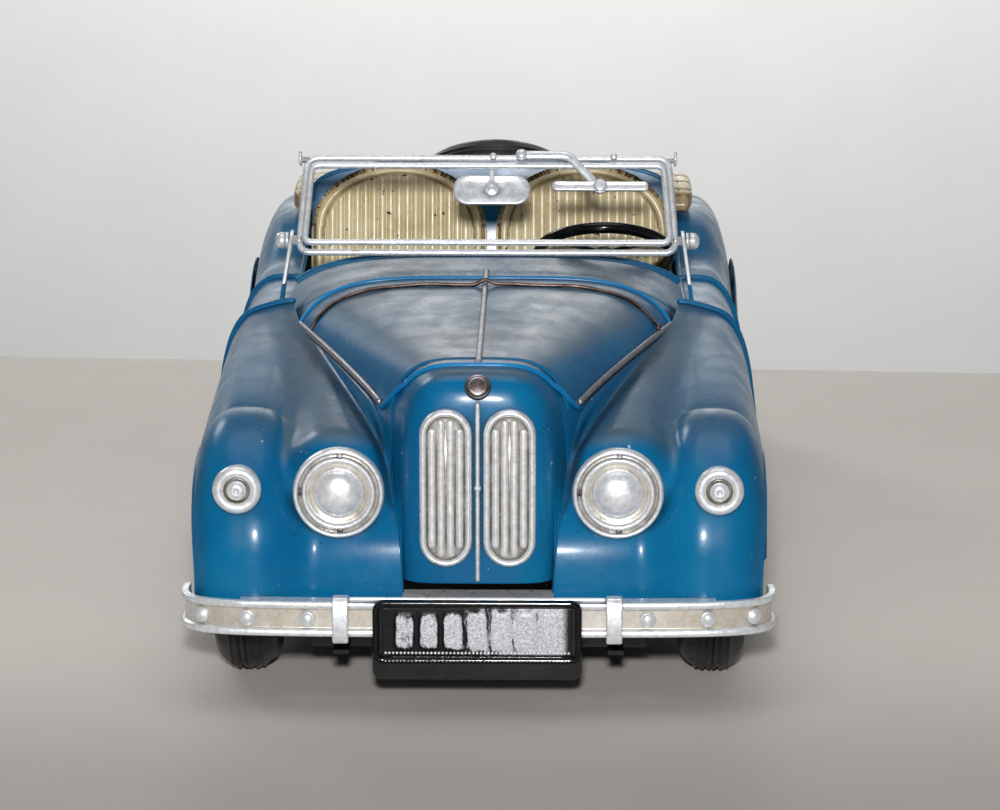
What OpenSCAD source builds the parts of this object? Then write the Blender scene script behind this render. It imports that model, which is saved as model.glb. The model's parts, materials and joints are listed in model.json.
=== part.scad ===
// Friction-drive tin roadster: pressed tin shell, folding windscreen, flywheel motor on the rear axle.
// Millimetres. +Z up, the car faces -Y, and the origin is on the ground at the footprint's centre.

/* [Body] */
// Half of the width over the wings
half_width = 67; // [65:0.5:69]
// Front of the wings, ahead of the origin
nose_reach = 150; // [148:0.5:151]
// Rear of the tail, behind the origin
tail_reach = 153; // [151:0.5:154]
// Thickness of the pressed tin panels
tin = 0.8; // [0.6:0.05:1]
// Height of the bonnet's crown at its front edge
bonnet_front_h = 76; // [74:0.5:78]
// Height of the bonnet's crown at its rear edge
bonnet_rear_h = 79.8; // [79:0.1:80]
// Height of the rear wings' crown
rear_crown_h = 79.6; // [78:0.2:82]

/* [Wheels] */
// Radius of the tyres
tyre_r = 24; // [23:0.25:25]
// Width of the tyres
tyre_w = 15; // [13:0.5:16]
// Distance of the front axle ahead of the origin
front_axle = 118; // [116:0.5:119]
// Distance of the rear axle behind the origin
rear_axle = 80; // [78:0.5:82]
// Radius of the axles
axle_r = 1.5; // [1.2:0.1:1.8]
// Radial clearance of every turning shaft
run_gap = 0.05; // [0.02:0.01:0.1]

/* [Windscreen] */
// Rake of the windscreen back from upright, degrees
rake = 28; // [22:1:32]
// Half of the width of the windscreen frame
screen_half = 48.6; // [47:0.2:48.8]
// Height of the windscreen frame along its slope
screen_h = 27; // [24:0.5:28]
// Width of the frame's bars
bar = 2.6; // [2.2:0.1:3]

/* [Friction motor] */
// Module of the gears
gear_module = 0.6; // [0.55:0.05:0.6]
// Teeth of the drive gear on the rear axle
drive_teeth = 32; // [28:1:32]
// Teeth of the wheel on the idler shaft
idler_teeth = 30; // [28:1:30]
// Teeth of both pinions
pinion_teeth = 12; // [12:1:13]
// Radius of the flywheel
flywheel_r = 10.4; // [9:0.1:10.5]

/* [Hidden] */
$fn = 48;

blue = "#1a6a9c";
silver = "#c9cacb";
cream = "#dccb9b";
black = "#17171a";
steel = "#9a9a98";
brass = "#b9984f";

sill_z = 19;
wing_x = half_width - 13.5;
wing_a = 13.5;
wing_turn = -nose_reach + 32;
nose_half = 16;
front_seam = -40;
rear_seam = 15;
cockpit_x = 50;
scuttle_rear = -14;
deck_front = 94;
deck_h = 84;
deck_fall = 0.67;
deck_valley = 42;
axle_z = tyre_r;
arch_r = tyre_r + 3;

// ---------- the shape of the shell, as functions that are below zero inside it ----------

function ease(a, b, t) = a + (b - a) * min(1, max(0, t));
function sup2(a, b, p) = pow(pow(abs(a), p) + pow(abs(b), p), 1 / p);
function smin(a, b, k) = min(a, b) - pow(max(k - abs(a - b), 0) / k, 2) * k / 4;
function smax(a, b, k) = -smin(-a, -b, k);

// Crown height of the front wing, which runs on along the door.
function wing_crown(y) =
    y < front_seam ? 61.5 + 9 * pow(max(0, (y - wing_turn) / (front_seam - wing_turn)), 0.8)
    : 70.5 - 2.5 * sin(min(180, max(0, (y - front_seam) / (rear_seam + 10 - front_seam) * 180)));

// How far a point is up and ahead in the front wing: 1 is on its skin.
function front_reach_of(p) =
    sup2(max(0, p.z - 24) / (wing_crown(p.y) - 24), max(0, wing_turn - p.y) / 32, 2.2);

function wing_field(p, reach) = (sup2(reach, (abs(p.x) - wing_x) / wing_a, 3) - 1) * wing_a;

// Pod that the headlamp stands on, running back and up beside the bonnet.
function lamp_pod_field(p) =
    let (s = p.y + 138, side = abs(p.x) - 31.4 - 0.155 * s, up = p.z - 46.5 - 0.125 * s)
    (sup2(sup2(side, up, 2) / 12.5, max(0, -130 - p.y) / 11, 3) - 1) * 12.5;

// Apron between the nose and the wings, under the headlamps.
function apron_field(p) =
    (sup2(sup2(p.x / 60, max(0, p.z - 10) / 36, 5), max(0, wing_turn - p.y) / 29, 4) - 1) * 20;

// Side edge of the bonnet, where the side strips lie.
function strip_x(y) = y < -55 ? 22.3 + (y + 128) * 0.3205 : 45.7 + (y + 55) * 0.143;

function bonnet_top(y) = bonnet_front_h + (y + 140) * (bonnet_rear_h - bonnet_front_h) / 110;
function bonnet_half(y) = y < -55 ? 23.5 + (y + 128) * 0.367 : 50.3 + (y + 55) * 0.18;
function bonnet_field(p) =
    let (front = max(0, -133 - p.y) / 8)
    (sup2(sup2(p.x / bonnet_half(p.y), max(0, p.z - 40) / (bonnet_top(p.y) - 40), 4), front, 4) - 1) * 18;

function nose_field(p) =
    let (
        drop = max(0, -138 - p.y) * 0.12,
        over = max(0, p.z - 40) / (bonnet_front_h - 40 - drop),
        flare = nose_half + 5.8 * pow(min(1, max(0, p.y + 149) / 19), 0.9)
    )
    (sup2(sup2(p.x / flare, over, 4), max(0, -143 - p.y) / 8, 4.5) - 1) * nose_half;

// The same for the rear wing, whose crown stands over the rear axle.
function rear_reach_of(p) =
    sup2(
        max(0, p.z - 30) / (rear_crown_h - 30),
        p.y < 84 ? (84 - p.y) / 68 : (p.y - 84) / (tail_reach - 85),
        2.4
    );

// Sloping deck and tail between the rear wings.
function deck_field(p) =
    let (
        past = max(p.y - deck_front, 2.5 * (deck_front - p.y)),
        slope = (p.z - deck_h + deck_fall * past) * 0.83
    )
    smax(smax(slope, p.y - tail_reach, 14), abs(p.x) - 54, 12);

front_field = function (p)
    smin(
        smin(smin(wing_field(p, front_reach_of(p)), apron_field(p), 6), lamp_pod_field(p), 3.5),
        bonnet_field(p),
        1.2
    );
door_field = function (p) wing_field(p, front_reach_of(p));
rear_field = function (p)
    smin(
        wing_field(p, p.y < 60 ? smin(rear_reach_of(p), front_reach_of(p), 0.12) : rear_reach_of(p)),
        deck_field(p),
        4
    );
top_field = function (p) bonnet_field(p);
snout_field = function (p) nose_field(p);

function crossing(f, o, d, near, far, n = 20) =
    let (mid = (near + far) / 2)
    n == 0 ? mid
    : f(o + mid * d) < 0 ? crossing(f, o, d, mid, far, n - 1)
    : crossing(f, o, d, near, mid, n - 1);

// Direction that turns from straight up to level: out to the side by a, to the front by b (0 to 1).
function fan(a, b) =
    let (
        low = max(abs(a), abs(b)),
        az = low == 0 ? 0 : abs(a) >= abs(b) ? 45 * abs(b) / abs(a) : 90 - 45 * abs(a) / abs(b),
        out = cos(az) * sin(90 * low),
        ahead = sin(az) * sin(90 * low)
    )
    [sign(a) * out, -sign(b) * ahead, cos(90 * low)];

function skin(f, o, d, depth) = o + (crossing(f, o, d, 0, 170) - depth) * d;

// A closed tin panel from two grids of points, the outer and the inner one.
module shell(outer, inner) {
    rows = len(outer);
    cols = len(outer[0]);
    n = rows * cols;
    flat = [for (grid = [outer, inner]) for (row = grid) for (p = row) p];
    top = [
        for (i = [0 : rows - 2]) for (j = [0 : cols - 2])
        let (a = i * cols + j, b = a + 1, c = a + cols, d = c + 1)
        each [[a, b, c], [b, d, c]]
    ];
    under = [for (t = top) [t[0] + n, t[2] + n, t[1] + n]];
    ring = concat(
        [for (j = [0 : cols - 1]) j],
        [for (i = [1 : rows - 1]) i * cols + cols - 1],
        [for (j = [cols - 2 : -1 : 0]) (rows - 1) * cols + j],
        [for (i = [rows - 2 : -1 : 1]) i * cols]
    );
    edge = [
        for (i = [0 : len(ring) - 1])
        let (a = ring[i], b = ring[(i + 1) % len(ring)])
        each [[b, a, a + n], [b, a + n, b + n]]
    ];
    polyhedron(flat, concat(top, under, edge), convexity = 6);
}

// A panel draped over a field. rays(i, j) gives each ray's start and direction.
module draped(f, rows, cols, rays) {
    outer = [for (i = [0 : rows]) [for (j = [0 : cols]) let (r = rays(i, j)) skin(f, r[0], r[1], 0)]];
    inner = [for (i = [0 : rows]) [for (j = [0 : cols]) let (r = rays(i, j)) skin(f, r[0], r[1], tin)]];
    shell(outer, inner);
}

module both_sides() {
    children();
    mirror([1, 0, 0]) children();
}

module wheel_arch(y) {
    translate([30, y, axle_z]) rotate([0, 90, 0]) cylinder(r = arch_r, h = 50, $fn = 64);
}

// ---------- pressed panels ----------

top_rows = 9;
turn_rows = 11;

// Inner edge of the front wing: along the strip, then down beside the nose.
function wing_inner_x(k) =
    k <= top_rows ? strip_x(front_seam - 0.2 + (wing_turn - front_seam) * k / top_rows) + 0.3
    : ease(nose_half + 0.6, strip_x(wing_turn) + 0.3, pow(1 - (k - top_rows) / turn_rows, 2.4));

module front_wing() {
    side_cols = 9;
    flat_cols = 7;
    rays = function (i, j)
        let (
            y = ease(front_seam - 0.2, wing_turn, i / top_rows),
            x = ease(wing_inner_x(i), wing_x, j / flat_cols)
        )
        [[x, y, sill_z], fan(max(0, j - flat_cols) / side_cols, max(0, i - top_rows) / turn_rows)];
    color(blue) difference() {
        draped(front_field, top_rows + turn_rows, flat_cols + side_cols, rays);
        wheel_arch(-front_axle);
    }
}

module bonnet() {
    rows = 12;
    half_cols = 7;
    rays = function (i, j)
        let (y = ease(-45.3, -134, i / rows), x = (strip_x(y) - 0.2) * sin(90 * (j / half_cols - 1)))
        [[x, y, 50], [0, 0, 1]];
    color(blue) draped(top_field, rows, 2 * half_cols, rays);
}

module scuttle() {
    rows = 3;
    half_cols = 7;
    rays = function (i, j)
        let (
            y = ease(scuttle_rear, -45, i / rows),
            x = (min(strip_x(y), cockpit_x - 0.6) - 0.2) * sin(90 * (j / half_cols - 1))
        )
        [[x, y, 50], [0, 0, 1]];
    color(blue) draped(top_field, rows, 2 * half_cols, rays);
}

module nose_shell() {
    rows = 12;
    half_cols = 9;
    flat_cols = 4;
    rays = function (i, j)
        let (
            k = j - half_cols,
            x = ease(0, 11, abs(k) / flat_cols) * sign(k),
            out = sign(k) * max(0, abs(k) - flat_cols) / (half_cols - flat_cols) * 0.98
        )
        [[x, -134.5, 28], fan(out, 0.03 + 0.97 * i / rows)];
    color(blue) draped(snout_field, rows, 2 * half_cols, rays);
}

module door() {
    rows = 6;
    side_cols = 9;
    flat_cols = 2;
    rays = function (i, j)
        [
            [
                ease(max(cockpit_x, strip_x(front_seam)), wing_x, j / flat_cols),
                ease(front_seam, rear_seam, i / rows),
                sill_z
            ],
            fan(max(0, j - flat_cols) / side_cols, 0)
        ];
    flipped = function (i, j) rays(rows - i, j);
    color(blue) draped(door_field, rows, flat_cols + side_cols, flipped);
}

module rear_wing() {
    flat_rows = 10;
    back_rows = 9;
    flat_cols = 4;
    side_cols = 9;
    turn = tail_reach - 40;
    rays = function (i, j)
        let (
            y = ease(rear_seam + 0.2, turn, i / flat_rows),
            inner = ease(cockpit_x, deck_valley, (y - 80) / 20),
            tilt = fan(max(0, j - flat_cols) / side_cols, max(0, i - flat_rows) / back_rows)
        )
        [[ease(inner, wing_x, j / flat_cols), y, sill_z], [tilt.x, -tilt.y, tilt.z]];
    rows = flat_rows + back_rows;
    flipped = function (i, j) rays(rows - i, j);
    color(blue) difference() {
        draped(rear_field, rows, flat_cols + side_cols, flipped);
        wheel_arch(rear_axle);
    }
}

module rear_deck() {
    flat_rows = 5;
    back_rows = 9;
    half_cols = 6;
    turn = tail_reach - 40;
    rays = function (i, j)
        let (
            y = ease(deck_front, turn, i / flat_rows),
            x = (deck_valley - 0.3) * (j / half_cols - 1),
            tilt = fan(0, max(0, i - flat_rows) / back_rows)
        )
        [[x, y, sill_z], [0, -tilt.y, tilt.z]];
    rows = flat_rows + back_rows;
    flipped = function (i, j) rays(rows - i, j);
    color(blue) draped(rear_field, rows, 2 * half_cols, flipped);
}

// Half-round covers over the rear wheels, standing just proud of the wings.
module wheel_spats() {
    color(blue) both_sides() intersection() {
        translate([half_width + 0.1, rear_axle + 3, 26]) rotate([0, 90, 0])
            cylinder(r = 37, h = 1, $fn = 96);
        translate([half_width - 2, rear_axle - 40, 20]) cube([6, 90, 50]);
    }
}

// ---------- inside the cockpit ----------

tub_floor = 44;
tub_front = -22;
tub_rear = 57;
tub_half = 48.6;

// Arched panel behind the seats.
module seat_panel() {
    translate([0, 36, tub_floor + 0.6]) rotate([90 - seat_lean, 0, 0])
        translate([0, 0, -1.9]) linear_extrude(tin) polygon([
            [-tub_half, 0],
            for (k = [-24 : 24]) [tub_half * sin(90 * k / 24), 42 + 11 * pow(cos(90 * k / 24), 0.6)],
            [tub_half, 0]
        ]);
}

module cockpit_tub() {
    depth = tub_rear - tub_front;
    color(blue) seat_panel();
    color(blue) difference() {
        translate([-tub_half, tub_front, tub_floor]) cube([2 * tub_half, depth, 40]);
        translate([-tub_half + tin, tub_front - 1, tub_floor + tin])
            cube([2 * (tub_half - tin), depth + 1 - tin, 41]);
        translate([-tub_half - 1, tub_front - 1, 68]) cube([2 * tub_half + 2, depth - 4, 20]);
    }
}

module dashboard() {
    half = 44;
    color(blue) translate([0, scuttle_rear - 1.6, 0]) rotate([90, 0, 0]) linear_extrude(1.2)
        polygon([
            [-half, tub_floor + 14],
            for (k = [-8 : 8]) [half * k / 8, 77.5 - 9.5 * pow(abs(k) / 8, 3)],
            [half, tub_floor + 14]
        ]);
}

seat_in = 2.6;
seat_out = 47.2;
seat_mid = (seat_in + seat_out) / 2;
seat_base_z = tub_floor + 1.2;
seat_lean = 12;

// Outline of a seat back: straight sides with a domed top.
function seat_outline(w, h) =
    let (dome = 0.72 * w)
    [[-w, 0], [w, 0], for (a = [0 : 10 : 180]) [w * cos(a), h - dome + dome * sin(a)]];

module seat() {
    w = (seat_out - seat_in) / 2;
    color(cream) {
        translate([seat_mid, 36, seat_base_z]) rotate([90 - seat_lean, 0, 0]) linear_extrude(5)
            polygon(seat_outline(w, 49.6));
        translate([seat_in, 10, seat_base_z]) cube([2 * w, 22, 7]);
    }
}

// Folded hood under its cover, wrapped around behind the seats.
module hood_cover() {
    half = 55;
    color(cream) translate([-half, 0, 0]) rotate([90, 0, 90]) linear_extrude(2 * half)
        polygon([
            [58.5, 82.6], [61, 85.4], [72, 87.2], [86, 87.5], [94, 87], [97.2, 85.8], [97.2, 84.4], [58.5, 80]
        ]);
}

column_tilt = 32;
wheel_centre = [30, 9, 76.8];
rim_r = 17.2;

module steering_column() {
    down = (wheel_centre.z - tub_floor - tin) / cos(column_tilt) + 0.4;
    color(black) translate(wheel_centre) rotate([-column_tilt, 0, 0]) {
        translate([0, 0, -down]) cylinder(r = 1.4, h = down - 2.1);
        translate([0, 0, -2.1]) cylinder(r = 0.8, h = 3.6);
        translate([0, 0, 1.2]) cylinder(r = 1.6, h = 0.6);
    }
}

module steering_wheel() {
    color(black) translate(wheel_centre) rotate([-column_tilt, 0, 0]) {
        rotate_extrude($fn = 96) translate([rim_r, 0]) circle(r = 1.25, $fn = 24);
        translate([0, 0, -1.9]) difference() {
            cylinder(r = 3.2, h = 2.8);
            translate([0, 0, -1]) cylinder(r = 0.8 + run_gap, h = 5);
        }
        for (a = [90, 210, 330]) rotate([0, 0, a]) translate([2.6, -0.9, -0.5])
            cube([rim_r - 3, 1.8, 1]);
    }
}

// ---------- nose trim ----------

face_y = -151;
grille_x = 7.1;
grille_z = 50;

function rounded_bar(w, h, n = 10) =
    [
        for (k = [0 : n]) let (a = 180 * k / n) [w * cos(a), h - w + w * sin(a)],
        for (k = [0 : n]) let (a = 180 + 180 * k / n) [w * cos(a), -h + w + w * sin(a)]
    ];
function arc(cx, cy, r, a0, a1, n) =
    [for (k = [0 : n]) let (a = a0 + (a1 - a0) * k / n) [cx + r * cos(a), cy + r * sin(a)]];
function rounded_rect(w, h, r, n = 6) =
    concat(
        arc(w - r, h - r, r, 0, 90, n), arc(r - w, h - r, r, 90, 180, n),
        arc(r - w, r - h, r, 180, 270, n), arc(w - r, r - h, r, 270, 360, n)
    );

// Extrudes an outline drawn in X and Z forward from a plane at y.
module plate_at(y, t) {
    translate([0, y, 0]) rotate([90, 0, 0]) linear_extrude(t) children();
}

module grille_surrounds() {
    color(silver) for (side = [-1, 1]) translate([side * grille_x, 0, grille_z])
        plate_at(face_y + 0.3, 1.7) difference() {
            polygon(rounded_bar(5.9, 18));
            polygon(rounded_bar(4.4, 16.5));
        }
}

module grille_slats() {
    slat = 1.7;
    color(silver) for (side = [-1, 1]) translate([side * grille_x, 0, grille_z]) {
        plate_at(face_y + 0.3, 0.5) polygon(rounded_bar(4.4, 16.5));
        for (k = [-1.5 : 1.5]) translate([k * 2.05, 0, 0]) {
            reach = 16.4 - 4.4 + sqrt(pow(4.4, 2) - pow(abs(k) * 2.05 + slat / 2, 2)) - 0.1;
            plate_at(face_y - 0.1, 0.7) polygon(rounded_bar(slat / 2, reach));
        }
    }
}

module nose_strip() {
    color(silver) translate([0, 0, 49]) {
        plate_at(face_y + 0.3, 1.1) polygon(rounded_bar(0.55, 20.5));
        translate([0, face_y - 0.6, 1]) sphere(r = 0.95, $fn = 24);
    }
}

module nose_badge() {
    color(brass) translate([0, -148.6, 72.2]) rotate([62, 0, 0]) {
        cylinder(r = 2.9, h = 1.2);
        translate([0, 0, 1.2]) intersection() {
            translate([0, 0, -2.4]) sphere(r = 3.7, $fn = 48);
            cylinder(r = 2.7, h = 3);
        }
    }
}

lamp_x = 31.4;
lamp_z = 47.2;
lamp_y = -143.2;

module at_lamps(x, y, z) {
    for (side = [-1, 1]) translate([side * x, y, z]) rotate([90, 0, 0]) children();
}

module headlamp_rims() {
    color(silver) at_lamps(lamp_x, lamp_y, lamp_z) rotate_extrude($fn = 96)
        polygon([
            [0, -5], [9.4, -5], [10.35, 0], [10.35, 1.6], [9.8, 2.4], [9.2, 2.2], [8.9, 1.5], [8.4, 1.5],
            [7.9, 2.3], [7.1, 2.2], [6.2, 1.0], [0, 1.0]
        ]);
}

module headlamp_domes() {
    color(silver) at_lamps(lamp_x, lamp_y, lamp_z) translate([0, 0, 1]) intersection() {
        translate([0, 0, -3.6]) sphere(r = 6.8, $fn = 64);
        cylinder(r = 5.75, h = 6);
    }
}

park_x = 54;
park_z = 48.6;
park_y = -147.2;

module parking_lamps() {
    color(silver) at_lamps(park_x, park_y, park_z) {
        difference() {
            rotate_extrude($fn = 64)
                polygon([[0, -6], [4.6, -6], [5.5, 0], [5.3, 0.9], [4.2, 1.9], [2.9, 1.5], [0, 1.5]]);
            translate([0, 0, 0.2]) cylinder(r = 2.7, h = 3);
        }
        translate([0, 0, 0.2]) cylinder(r = 2.35, h = 1.4);
        translate([0, 0, 1.6]) intersection() {
            translate([0, 0, -1.2]) sphere(r = 2.1, $fn = 32);
            cylinder(r = 1.7, h = 2);
        }
    }
}

// ---------- bumpers and number plate ----------

bumper_z = 21.1;
bumper_h = 4;
front_reach = 157.4;
rear_reach = 158.2;

// Bumper bar seen from above: a shallow bow whose ends wrap around the wings.
function bow(reach, t, n = 24) =
    [
        for (k = [-n : n])
        let (a = k / n)
        [(half_width - t) * sin(95 * a) / sin(95), -reach + t + 16 * pow(abs(a), 5) + 2.5 * a * a]
    ];

module bumper(reach, flange_back) {
    rim = 1.7;
    flange_half = 52;
    outer = bow(reach, 0);
    inner = bow(reach, 1);
    lip = bow(reach, 1.8);
    band = concat(outer, [for (k = [len(inner) - 1 : -1 : 0]) inner[k]]);
    web = concat(inner, [for (k = [len(lip) - 1 : -1 : 0]) lip[k]]);
    flange = concat(
        [for (p = inner) if (abs(p.x) < flange_half) p],
        [[flange_half, flange_back - reach], [-flange_half, flange_back - reach]]
    );
    translate([0, 0, bumper_z - bumper_h]) linear_extrude(rim) polygon(band);
    translate([0, 0, bumper_z + bumper_h - rim]) linear_extrude(rim) polygon(band);
    translate([0, 0, bumper_z - bumper_h]) linear_extrude(2 * bumper_h) polygon(web);
    translate([0, 0, bumper_z + bumper_h - 1.2]) linear_extrude(0.8) polygon(flange);
}

module bumper_with_arms(reach, flange_back) {
    color(silver) {
        bumper(reach, flange_back);
        for (side = [-1, 1]) translate([side * 31 - 2, 1.8 - reach, bumper_z - bumper_h + 0.2])
            cube([4, 17, 1.2]);
    }
}

module front_bumper() {
    bumper_with_arms(front_reach, 6.6);
}

module rear_bumper() {
    rotate([0, 0, 180]) bumper_with_arms(rear_reach, 4.4);
}

module bumper_rivets() {
    color(silver) for (end = [[0, front_reach], [180, rear_reach]]) rotate([0, 0, end[0]]) both_sides()
        for (x = [38, 51.5, 62])
            let (a = asin(x * sin(95) / half_width) / 95, y = 1.2 - end[1] + 16 * pow(a, 5) + 2.5 * a * a)
            translate([x, y, bumper_z]) rotate([90, 0, x > 60 ? 30 : 8]) cylinder(r = 1.85, h = 1.2);
}

module overriders() {
    color(silver) for (end = [[0, front_reach], [180, rear_reach]]) rotate([0, 0, end[0]])
        for (side = [-1, 1]) translate([side * 30.5 - 1.8, -end[1], bumper_z]) rotate([90, 0, 90])
            linear_extrude(3.6) polygon([
                [-0.1, -5.4], [-1.2, -4.6], [-1.8, 0], [-1.2, 4.4], [-0.1, 5.3],
                [2.5, 5.3], [2.5, bumper_h + 0.1], [-0.1, bumper_h + 0.1]
            ]);
    color(silver) translate([-28.7, 0.3 - front_reach, bumper_z + bumper_h + 0.2]) cube([57.4, 1.1, 1.1]);
}

plate_half = 23.3;
plate_z = 16.8;
plate_back = -front_reach;
plate_tall = 9;
face_half = plate_half - 2;
face_tall = 5.6;
face_z = plate_z + 2.1;

module plate_frame() {
    outline = rounded_rect(plate_half, plate_tall, 2.2);
    color(black) {
        translate([0, 0, plate_z]) plate_at(plate_back, 0.8) polygon(outline);
        plate_at(plate_back - 0.8, 1.8) difference() {
            translate([0, plate_z]) polygon(outline);
            translate([0, face_z]) polygon(rounded_rect(face_half, face_tall, 0.9));
        }
    }
}

// Plain raised bars stand where a real car would carry its number.
module plate_face() {
    color(silver) translate([0, 0, face_z]) {
        plate_at(plate_back - 0.8, 0.5) polygon(rounded_rect(face_half - 0.3, face_tall - 0.3, 0.6));
        for (k = [-3 : 3]) translate([k * 5.4, 0, 0])
            plate_at(plate_back - 1.3, 0.4) polygon(rounded_rect(1.8, 3.7, 0.6));
    }
}

module tail_lamps() {
    color(silver) for (side = [-1, 1]) translate([side * 47, 144, 52]) rotate([-80, 0, 0])
        rotate_extrude($fn = 48)
        polygon([[0, -6], [4, -6], [4.6, 5.4], [4.2, 6.6], [2.8, 8], [0, 8.4]]);
}

// ---------- bonnet trim ----------

function on_top(x, y) = skin(top_field, [x, y, 45], [0, 0, 1], 0);

// A round-backed strip laid along points on the bonnet.
module strip(path, r) {
    n = len(path);
    sides = 8;
    rings = [
        for (i = [0 : n - 1])
        let (
            d = path[min(n - 1, i + 1)] - path[max(0, i - 1)],
            t = d / norm(d),
            u = cross(t, [0, 0, 1]) / norm(cross(t, [0, 0, 1])),
            v = cross(u, t)
        )
        [for (k = [0 : sides - 1]) path[i] + r * (cos(360 * k / sides) * u + sin(360 * k / sides) * v)]
    ];
    faces = [
        for (i = [0 : n - 2]) for (k = [0 : sides - 1])
        let (a = i * sides + k, b = i * sides + (k + 1) % sides)
        each [[a, b, a + sides], [b, b + sides, a + sides]]
    ];
    ends = [
        [for (k = [sides - 1 : -1 : 0]) k],
        [for (k = [0 : sides - 1]) (n - 1) * sides + k]
    ];
    polyhedron([for (ring = rings) each ring], concat(faces, ends));
}

module bonnet_centre_strip() {
    path = [for (k = [0 : 10]) on_top(0, ease(-140, -36, k / 10)) + [0, 0, 0.55]];
    color(silver) strip(path, 0.6);
}

module bonnet_side_strips() {
    path = [
        for (k = [0 : 8])
        let (y = ease(-127, -56, k / 8))
        on_top(strip_x(y), y) + [0.2, 0, 0.75]
    ];
    color(silver) both_sides() strip(path, 0.7);
}

// Wire laid over the bonnet in an arch, ahead of the scuttle.
module bonnet_arch_wire() {
    path = [
        for (k = [-10 : 10])
        let (x = 42.6 * sin(9 * k), y = -54.5 - 9.5 * pow(abs(x) / 42.6, 4.5))
        on_top(x, y) + [0, 0, abs(x) < 2 ? 1.9 : 0.75]
    ];
    color(steel) strip(path, 0.6);
}

// ---------- windscreen ----------

pivot = [50.2, -25, 85.5];

// Places children on the windscreen's slope: x across, y up the slope, z out to the front.
module on_screen() {
    translate([0, pivot.y, pivot.z]) rotate([90 - rake, 0, 0]) children();
}

// Outline of a windscreen frame, a little narrower at its top.
function frame_points(grow) =
    [
        for (p = rounded_rect(screen_half - grow, screen_h / 2 - grow, 3.4 - grow * 0.7))
        [p.x * (1 - 0.04 * (p.y / screen_h + 0.5)), p.y + screen_h / 2 - 4]
    ];

module frame_outline() {
    difference() {
        polygon(frame_points(0));
        polygon(frame_points(bar));
    }
}

hinge_y = screen_h - 5.3;
hinge_x = screen_half * 0.965;

module stanchions() {
    color(silver) both_sides() translate([pivot.x - 1.3, 0, 0]) rotate([90, 0, 90]) linear_extrude(1)
        difference() {
            polygon([[-36, 76.2], [-30, 76.2], [-22.4, 84], [-22.6, 88], [-26.4, 88], [-28, 84.5]]);
            translate([pivot.y, pivot.z]) circle(r = 1.3 + run_gap);
        }
}

module stanchion_feet() {
    color(blue) both_sides() translate([pivot.x - 1.3, 0, 0]) rotate([90, 0, 90]) linear_extrude(1)
        polygon([[-41, 64.5], [-32, 64.5], [-30, 76.1], [-36, 76.1]]);
}

// Pivot knobs at the windscreen's foot and the screws at its top corners.
module screen_screws() {
    color(silver) both_sides() translate([pivot.x, pivot.y, pivot.z]) rotate([0, 90, 0]) {
        translate([0, 0, -2.6]) cylinder(r = 1.3, h = 2.6);
        cylinder(r = 2.15, h = 2.4);
        translate([0, 0, 2.4]) cylinder(r = 1.6, h = 1.1);
    }
    color(silver) on_screen() for (side = [-1, 1]) translate([side * (hinge_x - 0.1), hinge_y, 0])
        rotate([0, side * 90, 0]) {
            cylinder(r = 0.8, h = 1.5);
            translate([0, 0, 1.5]) cylinder(r = 1.6, h = 0.8);
        }
}

module screen_carrier() {
    color(silver) on_screen() {
        translate([0, 0, -0.8]) linear_extrude(1.6) frame_outline();
        for (side = [-1, 1]) translate([side * (screen_half - 1), 0, 0]) rotate([0, 90, 0])
            cylinder(r = 1.3, h = 1.6, center = true);
    }
}

// Pane frame, hung from the corner screws by an ear at each top corner.
module screen_frame() {
    color(silver) on_screen() {
        translate([0, 0, 1.4]) linear_extrude(1.6) frame_outline();
        for (side = [-1, 1]) translate([side * (hinge_x + 0.75), hinge_y, 0]) {
            difference() {
                union() {
                    rotate([0, 90, 0]) cylinder(r = 1.35, h = 0.8, center = true);
                    translate([-0.4, -1.35, 0]) cube([0.8, 2.7, 3]);
                }
                rotate([0, 90, 0]) cylinder(r = 0.8 + run_gap, h = 3, center = true);
            }
            translate([side > 0 ? -1.6 : 0.4, -1.35, 1.4]) cube([1.2, 2.7, 1.6]);
        }
        for (x = [1.4, 32]) translate([x, screen_h - 5.3, 3]) cylinder(r = 0.9, h = 0.5);
        translate([wiper_root.x, wiper_root.y, 3]) {
            cylinder(r = 0.5, h = 1.6);
            translate([0, 0, 1.5]) cylinder(r = 1.2, h = 0.5);
        }
    }
}

mirror_at = [1, 14.4];

module mirror_arm() {
    color(silver) on_screen() {
        translate([0, 0, -1.5]) linear_extrude(0.7) {
            translate([mirror_at.x - 0.8, mirror_at.y]) square([1.6, 7.2]);
            translate(mirror_at) circle(r = 1.9);
        }
        translate([mirror_at.x, mirror_at.y, -2.9]) cylinder(r = 0.7, h = 1.4);
    }
}

module mirror_plate() {
    color(silver) on_screen() translate([mirror_at.x, mirror_at.y, -2.8]) linear_extrude(1.1)
        difference() {
            polygon(rounded_rect(9.8, 3.9, 3.4));
            circle(r = 0.7 + run_gap);
        }
}

wiper_root = [8.6, screen_h - 5.3];
wiper_hub = [28.5, 12.9];

module wiper_arm() {
    elbow = [21.3, screen_h - 5.6];
    color(silver) on_screen() {
        translate([0, 0, 3.7]) linear_extrude(0.7) difference() {
            union() {
                for (leg = [[wiper_root, elbow], [elbow, wiper_hub]])
                    let (d = leg[1] - leg[0])
                    translate(leg[0]) rotate(atan2(d.y, d.x)) translate([0, -0.9]) square([norm(d), 1.8]);
                for (p = [wiper_root, wiper_hub]) translate(p) circle(r = 1.5);
                translate(elbow) circle(r = 0.9);
            }
            translate(wiper_root) circle(r = 0.5 + run_gap);
        }
        translate([wiper_hub.x, wiper_hub.y, 4.4]) cylinder(r = 0.6, h = 1.2);
        translate([wiper_hub.x, wiper_hub.y, 5.6]) cylinder(r = 1.6, h = 0.5);
    }
}

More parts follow.
